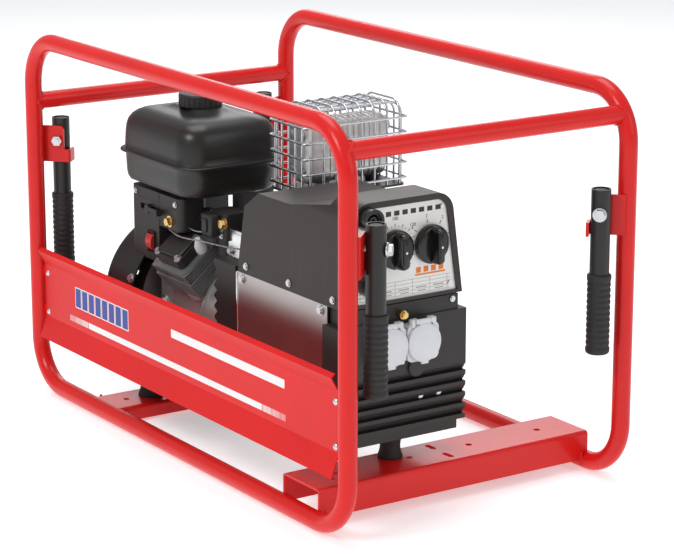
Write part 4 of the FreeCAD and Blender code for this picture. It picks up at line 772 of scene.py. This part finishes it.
engine = {"axisY": -0.065, "axisZ": 0.160, "tilt": 40.0, "barrelX": -0.104, "barrelR": 0.034,
          "barrelZ": (0.050, 0.104), "fins": 9, "finFirst": 0.077, "finLast": 0.1025,
          "finSize": (0.092, 0.072, 0.0012), "headFins": 4, "headFirst": 0.1065, "headPitch": 0.0036,
          "headFinSize": (0.0885, 0.0685, 0.0014)}
crown = {"low": (-0.028, -0.020, 0.132), "high": (0.028, 0.020, 0.1375), "round": 0.004,
         "boltX": 0.026, "boltY": 0.019, "boltZ": 0.1342}
plugCap = {"at": (0.034, 0.012, 0.119), "axis": (0.35, -0.5, 0.79),
           "shape": ((0.0, 0.0), (0.0075, 0.0), (0.0085, 0.004), (0.0085, 0.012), (0.006, 0.019),
                     (0.0035, 0.026), (0.0, 0.027))}
shaftY, shaftZ, barrelX = engine["axisY"], engine["axisZ"], engine["barrelX"]
tilt = math.radians(engine["tilt"])
tiltMatrix = Matrix.Translation((0, shaftY, shaftZ)) @ Matrix.Rotation(tilt, 4, "X")
barrelMatrix = tiltMatrix @ Matrix.Translation((barrelX, 0, 0))


def onCylinder(x, y, z):
    return tuple(tiltMatrix @ Vector((barrelX + x, y, z)))


def aroundShaft(x, radius, first, turn, count, aim=None):
    # spots on a circle round the shaft, which look outwards unless an aim is given
    spots = []
    for k in range(count):
        angle = math.radians(first + turn * k)
        away = (0, math.cos(angle), math.sin(angle))
        spots.append(((x, shaftY + radius * away[1], shaftZ + radius * away[2]), aim or away))
    return spots


cylinderAxis = tuple(tiltMatrix.to_3x3() @ Vector(up))
finStep = (engine["finLast"] - engine["finFirst"]) / (engine["fins"] - 1)
barrelR = engine["barrelR"]
barrelFoot, barrelTop = engine["barrelZ"]
bm = bmesh.new()
turned(bm, [(0.0, barrelFoot), (barrelR, barrelFoot), (barrelR, barrelTop), (0.0, barrelTop)], (0, 0, 0), up)
bm.transform(barrelMatrix)
place("cylinderBarrel", bm, finMetal, instead=("cylinder",))
bars("cylinderFins", engine["fins"], (barrelX, 0, engine["finFirst"]), (0, 0, finStep),
     engine["finSize"], finMetal, tiltMatrix)
bars("headFins", engine["headFins"], (barrelX, 0, engine["headFirst"]),
     (0, 0, engine["headPitch"]), engine["headFinSize"], darkCasting, tiltMatrix)
coverSpots = [(onCylinder(x, y, crown["boltZ"]), cylinderAxis)
              for x in (-crown["boltX"], crown["boltX"]) for y in (-crown["boltY"], crown["boltY"])]
heads("valveCoverBolts", coverSpots)
bm = bmesh.new()
block(bm, crown["low"], crown["high"], crown["round"], 3)
bm.transform(barrelMatrix)
place("valveCoverCrown", bm, sheetBlack)
turnedPiece("sparkPlugCap", plugCap["shape"], onCylinder(*plugCap["at"]), plugCap["axis"], 24, whitePlastic)

rib = {"count": 5, "first": 0.018, "pitch": 0.025, "half": 0.002, "proud": 0.0035, "sunk": 0.001,
       "round": 0.0008, "z": (0.078, 0.150)}
caseBolt = {"boltInset": 0.009, "boltRows": (0.085, 0.125, 0.165), "lift": 0.0001}
caseLow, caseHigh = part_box("crankcase")
flanks = ((caseLow[1] - rib["proud"], caseLow[1] + rib["sunk"]),
          (caseHigh[1] - rib["sunk"], caseHigh[1] + rib["proud"]))
ribs = []
for k in range(rib["count"]):          # stiffening ribs on both flanks
    x = caseLow[0] + rib["first"] + k * rib["pitch"]
    for near, far in flanks:
        low = (x - rib["half"], near, rib["z"][0])
        high = (x + rib["half"], far, rib["z"][1])
        ribs.append((low, high, rib["round"]))
blockPiece("caseRibs", ribs, castAluminium, False, 1)
caseX = (caseLow[0] + caseBolt["boltInset"], caseHigh[0] - caseBolt["boltInset"])
caseSpots = []
for y, aim in ((caseLow[1] - caseBolt["lift"], toFront), (caseHigh[1] + caseBolt["lift"], toBack)):
    caseSpots += [((x, y, z), aim) for x in caseX for z in caseBolt["boltRows"]]
heads("caseBolts", caseSpots)

bell = {"bolts": 12, "boltR": 0.0798, "boltInset": 0.004, "flangeR": (0.0745, 0.0822),
        "flangeHalf": 0.0025, "flangeInset": 0.003}
bellLow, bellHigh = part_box("bell_housing")
bellX = bellHigh[0] - bell["boltInset"]
heads("bellBolts", aroundShaft(bellX, bell["boltR"], 15, 30, bell["bolts"]))
inner, outer = bell["flangeR"]
half = bell["flangeHalf"]
flange = [(inner, -half), (outer, -half), (outer, half), (inner, half), (inner, -half)]
bm = bmesh.new()
for x in (bellLow[0] + bell["flangeInset"], bellHigh[0] - bell["flangeInset"]):
    turned(bm, flange, (x, shaftY, shaftZ), toPanel, 64)
place("bellFlanges", bm, castAluminium)

recoil = {"blowerR": 0.112, "blowerInset": 0.006, "screwR": 0.062, "lift": 0.0002,
          "boss": ((0.0, 0.0), (0.021, 0.0), (0.021, 0.0012), (0.018, 0.0026), (0.012, 0.0032),
                   (0.0, 0.0034))}
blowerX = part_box("blower_housing")[1][0] - recoil["blowerInset"]
heads("blowerBolts", aroundShaft(blowerX, recoil["blowerR"], 20, 35, 5))
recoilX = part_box("recoil_cover")[0][0]
heads("recoilScrews", aroundShaft(recoilX + recoil["lift"], recoil["screwR"], 45, 90, 4, toRecoil))
turnedPiece("recoilBoss", recoil["boss"], (recoilX, shaftY, shaftZ), toRecoil, 40, coverPlastic)

# air cleaner face, switch surround and throttle linkage
cleaner = {"sunk": 0.001, "upright": ((-0.1525, -0.1515), (0.282, 0.3245), 0.0005),
           "level": ((-0.212, -0.106), (0.3105, 0.3115), 0.0006), "knob": (-0.122, 0.292),
           "screws": ((-0.214, 0.318), (-0.106, 0.318))}
bezel = {"x": (-0.1815, -0.1625), "sideZ": (0.240, 0.268), "z": (0.2388, 0.2692), "side": 0.0015,
         "rail": 0.0014, "proud": 0.003, "round": 0.0003}
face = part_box("air_cleaner")[0][1]


def onCover(spanX, spanZ, proud, bevel=0):
    return (spanX[0], face - proud, spanZ[0]), (spanX[1], face + cleaner["sunk"], spanZ[1]), bevel


blockPiece("coverParting", [onCover(*cleaner["upright"]), onCover(*cleaner["level"])], sheetBlack, False)
knobX, knobZ = cleaner["knob"]
heads("coverKnobs", [((knobX, face, knobZ), toFront)], brass)
heads("coverScrews", [((x, face, z), toFront) for x, z in cleaner["screws"]])
x0, x1 = bezel["x"]
z0, z1 = bezel["z"]
surround = [((x0, x0 + bezel["side"]), bezel["sideZ"]), ((x1 - bezel["side"], x1), bezel["sideZ"]),
            (bezel["x"], (z0, z0 + bezel["rail"])), (bezel["x"], (z1 - bezel["rail"], z1))]
bezelBars = [onCover(spanX, spanZ, bezel["proud"], bezel["round"]) for spanX, spanZ in surround]
blockPiece("switchBezel", bezelBars, coverPlastic, False, 1)

carbSizes = {"drain": (-0.020, 0.306), "screwX": -0.026, "screwZ": (0.288, 0.296)}
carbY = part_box("carburettor")[0][1]
governor = [((-0.058, carbY - 0.014, 0.286), (-0.030, carbY + 0.001, 0.316), 0.003),
            ((-0.052, carbY - 0.0165, 0.292), (-0.040, carbY - 0.013, 0.310), 0.0015)]
blockPiece("governorBox", governor, coverPlastic)
drainX, drainZ = carbSizes["drain"]
heads("brassDrain", [((drainX, carbY, drainZ), toFront)], brass)
heads("carbScrews", [((carbSizes["screwX"], carbY, z), toFront) for z in carbSizes["screwZ"]])
rods = {"throttle": ((-0.128, -0.150, 0.2795), (-0.090, -0.1555, 0.2780), (-0.040, -0.1525, 0.2815),
                     (0.012, -0.146, 0.2835), (0.044, -0.142, 0.286)),
        "choke": ((-0.094, -0.140, 0.288), (-0.076, -0.1395, 0.2865), (-0.058, -0.136, 0.288)),
        "breather": ((-0.147, -0.136, 0.197), (-0.150, -0.1385, 0.226), (-0.153, -0.138, 0.246)),
        "wireR": 0.0011, "tubeR": 0.0062}
wireRun("throttleRod", rods["throttle"], rods["wireR"], chromeWire)
wireRun("chokeRod", rods["choke"], rods["wireR"], chromeWire)
wireRun("breatherTube", rods["breather"], rods["tubeR"], footRubber)
shelf = {"low": (-0.020, -0.122, 0.262), "high": (0.044, -0.119, 0.300), "round": 0.0008,
         "screwX": (-0.012, 0.034), "screwZ": 0.270}
# the bracket's bent sheet is drawn in the lighter stainless copy, a painted highlight on the bend
blockPiece("bracketSheet", [(shelf["low"], shelf["high"], shelf["round"])], paintedHighlightSheet, False, 1)
heads("bracketScrews", [((x, shelf["low"][1], shelf["screwZ"]), toFront) for x in shelf["screwX"]])
print("engine done")


# muffler: pressed shell with a rolled seam and vertical ribs

muffler = {"corner": 0.016, "ribPitch": 0.0085, "ribDepth": 0.0016, "inset": 0.0014, "ribStart": 0.044,
           "ribEnd": 0.016, "tail": 0.010, "tailLength": 0.012, "nutX": (-0.008, 0.018),
           "nutZ": (0.372, 0.420), "nutLift": 0.0005}
muffLow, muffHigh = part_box("muffler")


def buildMuffler():
    y0, y1 = muffLow[1], muffHigh[1] - muffler["tailLength"]
    centre = ((muffLow[0] + muffHigh[0]) / 2, (muffLow[2] + muffHigh[2]) / 2)
    halfX = (muffHigh[0] - muffLow[0]) / 2
    halfZ = (muffHigh[2] - muffLow[2]) / 2
    inset = muffler["inset"]
    deep = inset + muffler["ribDepth"]
    levels = [(0.010, y0), (0.005, y0 + 0.0008), (0.0018, y0 + 0.0032), (0.0012, y0 + 0.008),
              (0.0012, y0 + 0.034), (0.0, y0 + 0.0355), (0.0, y0 + 0.0385), (inset, y0 + 0.040)]
    y = y0 + muffler["ribStart"]
    while y < y1 - muffler["ribEnd"]:
        levels += [(inset, y), (deep, y + 0.0012), (deep, y + 0.0032), (inset, y + 0.0044)]
        y += muffler["ribPitch"]
    levels += [(inset, y1 - 0.010), (0.0022, y1 - 0.0035), (0.006, y1 - 0.0008), (0.011, y1)]
    rings = []
    for depth, at in levels:
        ring = roundedRing(centre, halfX - depth, halfZ - depth, muffler["corner"], 0, 8)
        rings.append([Vector((p.x, at, p.y)) for p in ring])
    bm = bmesh.new()
    ringFaces(bm, rings)
    r = muffler["tail"]
    tailShape = [(0.0, 0.0), (r, 0.0), (r, 0.013), (r + 0.0008, 0.014), (r - 0.0014, 0.014),
                 (r - 0.0016, 0.004), (0.0, 0.004)]
    turned(bm, tailShape, (centre[0], y1 - 0.002, muffHigh[2] - 2 * r), toBack, 28)
    place("mufflerShell", bm, mufflerSteel, instead=("muffler",))


buildMuffler()
nutY = muffLow[1] + muffler["nutLift"]
heads("mufflerNuts", [((x, nutY, z), toFront) for x in muffler["nutX"] for z in muffler["nutZ"]])
print("muffler done")


# control housing: screws, folded edge, printed scales

housing = {"face": 0.300, "current": (-0.076, 0.330), "range": (-0.022, 0.330), "caseX": 0.058,
           "inkLift": 0.0001, "ink": 0.0002, "foldX": (-0.0035, 0.0005), "foldY": (-0.1575, -0.1545),
           "foldZ": (0.098, 0.2615), "foldRound": 0.0012, "casingScrewX": (0.070, 0.255),
           "casingScrewAt": (-0.1562, 0.254), "hoodScrewX": (0.078, 0.180, 0.280),
           "hoodScrewAt": (-0.1545, 0.272)}
scales = {"letter": 0.0062, "currentR": 0.0385, "rangeR": 0.0365, "from": -0.107, "currentTo": -0.048,
          "rangeTo": 0.006}
plateScrews = ((0.008, 0.276), (-0.136, 0.276), (-0.005, 0.376))
faceX = housing["face"] + housing["inkLift"]
foldX, foldY, foldZ = housing["foldX"], housing["foldY"], housing["foldZ"]
foldLow = (housing["caseX"] + foldX[0], foldY[0], foldZ[0])
foldHigh = (housing["caseX"] + foldX[1], foldY[1], foldZ[1])
# the casing's vertical bend is real; its strip in the lighter stainless copy is a painted highlight along
# the fold
blockPiece("casingFold", [(foldLow, foldHigh, housing["foldRound"])], paintedHighlightSheet, True, 3)
heads("casingScrews", [((x, *housing["casingScrewAt"]), toFront) for x in housing["casingScrewX"]])
heads("hoodScrews", [((x, *housing["hoodScrewAt"]), toFront) for x in housing["hoodScrewX"]])
plateTurn = Matrix(((0, 0, 1), (1, 0, 0), (0, 1, 0))).to_4x4()
currentAt, rangeAt = (faceX, *housing["current"]), (faceX, *housing["range"])
dial("currentScale", currentAt, count=13, first=-42, turn=22, radius=0.0305, length=0.004, width=0.0008)
dial("currentFine", currentAt, count=25, first=-42, turn=11, radius=0.0295, length=0.0018, width=0.0005)
dial("rangeScale", rangeAt, count=4, first=20, turn=40, radius=0.0300, length=0.0045, width=0.0009)


def dialNumbers(name, texts, centre, first, turn, radius, lastY):
    for k, text in enumerate(texts):
        angle = math.radians(first + turn * k)
        at = (faceX, centre[1] + radius * math.cos(angle), centre[2] + radius * math.sin(angle))
        if scales["from"] < at[1] < lastY:
            written(name + str(k), text, scales["letter"], at, plateTurn, blackInk)


amps = ("40", "60", "80", "100", "120", "140", "160")
dialNumbers("currentNumber", amps, currentAt, 222, -44, scales["currentR"], scales["currentTo"])
dialNumbers("rangeNumber", ("1", "2", "3", "4"), rangeAt, 20, 40, scales["rangeR"], scales["rangeTo"])
# the plate's plain print: count, first place on the face, step, width and height, ink
plateBars = {
    "tableRules": (5, (-0.062, 0.2695), (0, 0.0046), (0.142, 0.0004), greyInk),
    "tableColumns": (6, (-0.128, 0.2787), (0.0264, 0), (0.0004, 0.0186), greyInk),
    "tableText": (5, (-0.1148, 0.2764), (0.0264, 0), (0.016, 0.0013), greyInk),
    "tableTextLow": (5, (-0.1138, 0.2718), (0.0264, 0), (0.013, 0.0011), greyInk),
    "plateAccent": (1, (-0.022, 0.2925), (0, 0), (0.046, 0.0022), orangeInk),
    "plateAccentTall": (4, (-0.040, 0.2985), (0.0115, 0), (0.0072, 0.0072), orangeInk),
    "plateTitle": (7, (-0.086, 0.3755), (0.0125, 0), (0.0078, 0.0062), blackInk),
}
for name, (count, start, step, size, ink) in plateBars.items():
    bars(name, count, (faceX, *start), (0, *step), (housing["ink"], *size), ink)
heads("plateScrews", [((faceX, y, z), toPanel) for y, z in plateScrews])

knob = {"lift": 0.0005, "currentBar": 0.0078, "rangeBar": 0.0062,
        "bar": ((0.006, 0.0008, 1), (0.014, 0.0012, 0.92), (0.021, 0.0022, 0.84),
                (0.0242, 0.0042, 0.72), (0.0256, 0.0075, 0.5)),      # height, end inset, width share
        "barRound": 0.96, "markTilt": (1, 0, 0.55),
        "mark": ((0.0, -0.001), (0.0016, -0.001), (0.0016, 0.0003), (0.0, 0.0004)),
        "dot": ((0.0, -0.001), (0.0015, -0.001), (0.0015, 0.0002), (0.0, 0.0003))}


def buildKnob(name, body, node, barWide):
    low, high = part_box(node)
    y = (low[1] + high[1]) / 2
    z = (low[2] + high[2]) / 2
    r = (high[1] - low[1]) / 2
    x = housing["face"] + knob["lift"]
    skirt = [(0.0, -0.012), (0.003, -0.012), (0.003, 0.0), (r - 0.0006, 0.0), (r, 0.0008),
             (r - 0.0004, 0.006), (r - 0.002, 0.0078), (r - 0.0045, 0.0088), (0.012, 0.0092), (0.0, 0.0094)]
    bm = bmesh.new()
    turned(bm, skirt, (x, y, z), toPanel, 48)
    rings = []
    for height, inset, share in knob["bar"]:
        wide = barWide * share
        ring = roundedRing((y, z), wide, r - inset, wide * knob["barRound"], 0, 8)
        rings.append([Vector((x + height, p.x, p.y)) for p in ring])
    ringFaces(bm, rings)
    place(name, bm, knobPlastic, body, instead=(node,))
    bm = bmesh.new()
    turned(bm, knob["mark"], (x + 0.0222, y, z + r - 0.0046), knob["markTilt"], 16)
    turned(bm, knob["dot"], (x + 0.0257, y, z), toPanel, 16)
    place(name + "Mark", bm, whiteInk, body)


buildKnob("currentKnobShaped", "current_knob_body", "current_knob", knob["currentBar"])
buildKnob("rangeKnobShaped", "range_knob_body", "range_knob", knob["rangeBar"])
sockets = {"x": 0.3152, "y": -0.119, "z": (0.374, 0.292),
           "rim": ((0.0112, 0.0), (0.0149, 0.0), (0.0149, 0.0022), (0.0142, 0.0030), (0.0120, 0.0030),
                   (0.0112, 0.0022), (0.0112, 0.0))}
bm = bmesh.new()
for z in sockets["z"]:
    turned(bm, sockets["rim"], (sockets["x"], sockets["y"], z), toPanel)
place("socketRims", bm, coverPlastic)
print("control panel done")


# outlets and end cap

outlet = {"y": (-0.094, -0.044), "z": 0.210, "front": 0.317, "crownSunk": 0.0002,
          "crown": ((0.0, -0.0006), (0.0205, -0.0006), (0.0212, 0.0004), (0.0205, 0.0007),
                    (0.0165, 0.0009), (0.0, 0.0012)),
          "tabHalf": 0.0055, "tabX": (-0.003, -0.0004), "tabZ": (-0.0272, -0.023), "tabRound": 0.0008,
          "cheekY": 0.0158, "cheekHalf": 0.0028, "cheekX": (-0.006, 0.0026), "cheekZ": (0.2305, 0.2410),
          "cheekRound": 0.0012, "screwX": 0.3032, "screwY": 0.0218, "screwZ": 0.1835}
tabX, tabZ, tabHalf = outlet["tabX"], outlet["tabZ"], outlet["tabHalf"]
cheekX, cheekZ, cheekHalf = outlet["cheekX"], outlet["cheekZ"], outlet["cheekHalf"]
z = outlet["z"]
for k, y in enumerate(outlet["y"]):
    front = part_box("outlet_lid_" + str(k + 1))[1][0]
    bm = bmesh.new()
    turned(bm, outlet["crown"], (front - outlet["crownSunk"], y, z), toPanel, 48)
    block(bm, (front + tabX[0], y - tabHalf, z + tabZ[0]), (front + tabX[1], y + tabHalf, z + tabZ[1]),
          outlet["tabRound"])
    place("lidCrown" + str(k + 1), bm, whitePlastic, "lid_" + str(k + 1))
front = outlet["front"]
cheeks = []
for middle in [y + side * outlet["cheekY"] for y in outlet["y"] for side in (-1, 1)]:
    cheeks.append(((front + cheekX[0], middle - cheekHalf, cheekZ[0]),
                   (front + cheekX[1], middle + cheekHalf, cheekZ[1]), outlet["cheekRound"]))
blockPiece("hingeCheeks", cheeks, whitePlastic)
screwX, screwY, screwZ = outlet["screwX"], outlet["screwY"], outlet["screwZ"]
screwSpots = [((screwX, y + side * screwY, screwZ), toPanel) for y in outlet["y"] for side in (-1, 1)]
heads("outletScrews", screwSpots)

endCap = {"bossSunk": 0.001, "bossAt": (-0.045, 0.1745), "screwSunk": 0.0064, "screwY": (-0.034, -0.006),
          "screwZ": 0.1345, "panelX": 0.3012, "panelY": (0.012, -0.140), "panelZ": 0.254,
          "earth": (0.309, -0.069, 0.247),
          "boss": ((0.0, 0.0), (0.0125, 0.0), (0.0125, 0.0034), (0.0112, 0.0046), (0.0, 0.0048))}
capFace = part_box("end_cap")[1][0]
bossAt = (capFace - endCap["bossSunk"], *endCap["bossAt"])
turnedPiece("knockoutBoss", endCap["boss"], bossAt, toPanel, 32, capPlastic)
capScrewX = capFace - endCap["screwSunk"]
heads("capScrews", [((capScrewX, y, endCap["screwZ"]), toPanel) for y in endCap["screwY"]])
heads("casePanelScrew", [((endCap["panelX"], y, endCap["panelZ"]), toPanel) for y in endCap["panelY"]])
heads("earthNut", [(endCap["earth"], toPanel)], brass)
print("outlets done")


# rubber feet: turned barrels with flanges

feet = {"neck": 0.82, "flange": 0.003, "steps": 6, "engineX": -0.204, "engineY": (-0.140, 0.010),
        "engine": (0.018, 0.024, 0.054), "panelAt": (0.276, -0.065), "panel": (0.016, 0.052, 0.084)}


def buildFeet():
    spots = [(feet["engineX"], y, *feet["engine"]) for y in feet["engineY"]]
    spots.append((*feet["panelAt"], *feet["panel"]))
    flange, neck = feet["flange"], feet["neck"]
    bm = bmesh.new()
    for x, y, r, low, high in spots:
        profile = [(0.0, low), (r, low), (r, low + flange)]
        for k in range(feet["steps"] + 1):
            share = k / feet["steps"]
            waist = r * (neck + (1 - neck) * (2 * share - 1) ** 2)
            profile.append((waist, low + flange + (high - low - 2 * flange) * share))
        profile += [(r, high - flange), (r, high), (0.0, high)]
        turned(bm, profile, (x, y, 0), up, 36)
    place("rubberFeet", bm, footRubber, instead=("rubber_mounts",))


buildFeet()
print("feet done")


# studio: floor, light and camera

studio = {"reach": 30, "aimZ": 0.25, "sky": (0.96, 0.98, 1.0, 1), "skyStrength": 0.46, "floorGlow": 0.42,
          "lens": 136.27, "sensor": 36, "cameraAt": (2.8011, -1.8339, 1.0903),
          "cameraTurn": (75.407, 0, 56.238),
          "lamps": (("keyLamp", (0.6, -2.7, 2.7), 1.2, 48), ("fillLamp", (3.2, 1.4, 1.9), 2.0, 16),
                    ("topLamp", (-0.6, 0.2, 3.0), 1.8, 34), ("rimLamp", (-2.6, 1.8, 1.8), 1.6, 18))}


def floorFinish():
    f = Finish("studioFloor")
    cloud = f.noise(1.5, 2)
    return f.set(Base_Color=f.mixed(cloud, (0.84, 0.85, 0.87, 1), (0.88, 0.89, 0.9, 1)), Roughness=0.55,
                 Emission_Color=(1, 1, 1, 1), Emission_Strength=studio["floorGlow"])


def buildStudio():
    mesh = bpy.data.meshes.new("floor")
    far = studio["reach"]
    mesh.from_pydata([(-far, -far, 0), (far, -far, 0), (far, far, 0), (-far, far, 0)], [], [(0, 1, 2, 3)])
    mesh.materials.append(floorFinish())
    floor = bpy.data.objects.new("floor", mesh)
    bpy.context.scene.collection.objects.link(floor)
    target = Vector((0, 0, studio["aimZ"]))
    for name, at, size, power in studio["lamps"]:
        light = bpy.data.lights.new(name, "AREA")
        light.energy = power
        light.size = size
        lamp = bpy.data.objects.new(name, light)
        lamp.location = at
        lamp.rotation_euler = (target - Vector(at)).to_track_quat("-Z", "Y").to_euler()
        bpy.context.scene.collection.objects.link(lamp)
    world = bpy.data.worlds.new("studioSky")
    world.use_nodes = True
    sky = world.node_tree.nodes["Background"]
    sky.inputs["Color"].default_value = studio["sky"]
    sky.inputs["Strength"].default_value = studio["skyStrength"]
    bpy.context.scene.world = world
    bpy.context.scene.view_settings.view_transform = "Standard"


def buildCamera():
    lens = bpy.data.cameras.new("camera")
    lens.lens = studio["lens"]
    lens.sensor_width = studio["sensor"]
    camera = bpy.data.objects.new("camera", lens)
    camera.location = studio["cameraAt"]
    camera.rotation_euler = [math.radians(angle) for angle in studio["cameraTurn"]]
    bpy.context.scene.collection.objects.link(camera)
    bpy.context.scene.camera = camera


buildStudio()
buildCamera()
print("studio done")
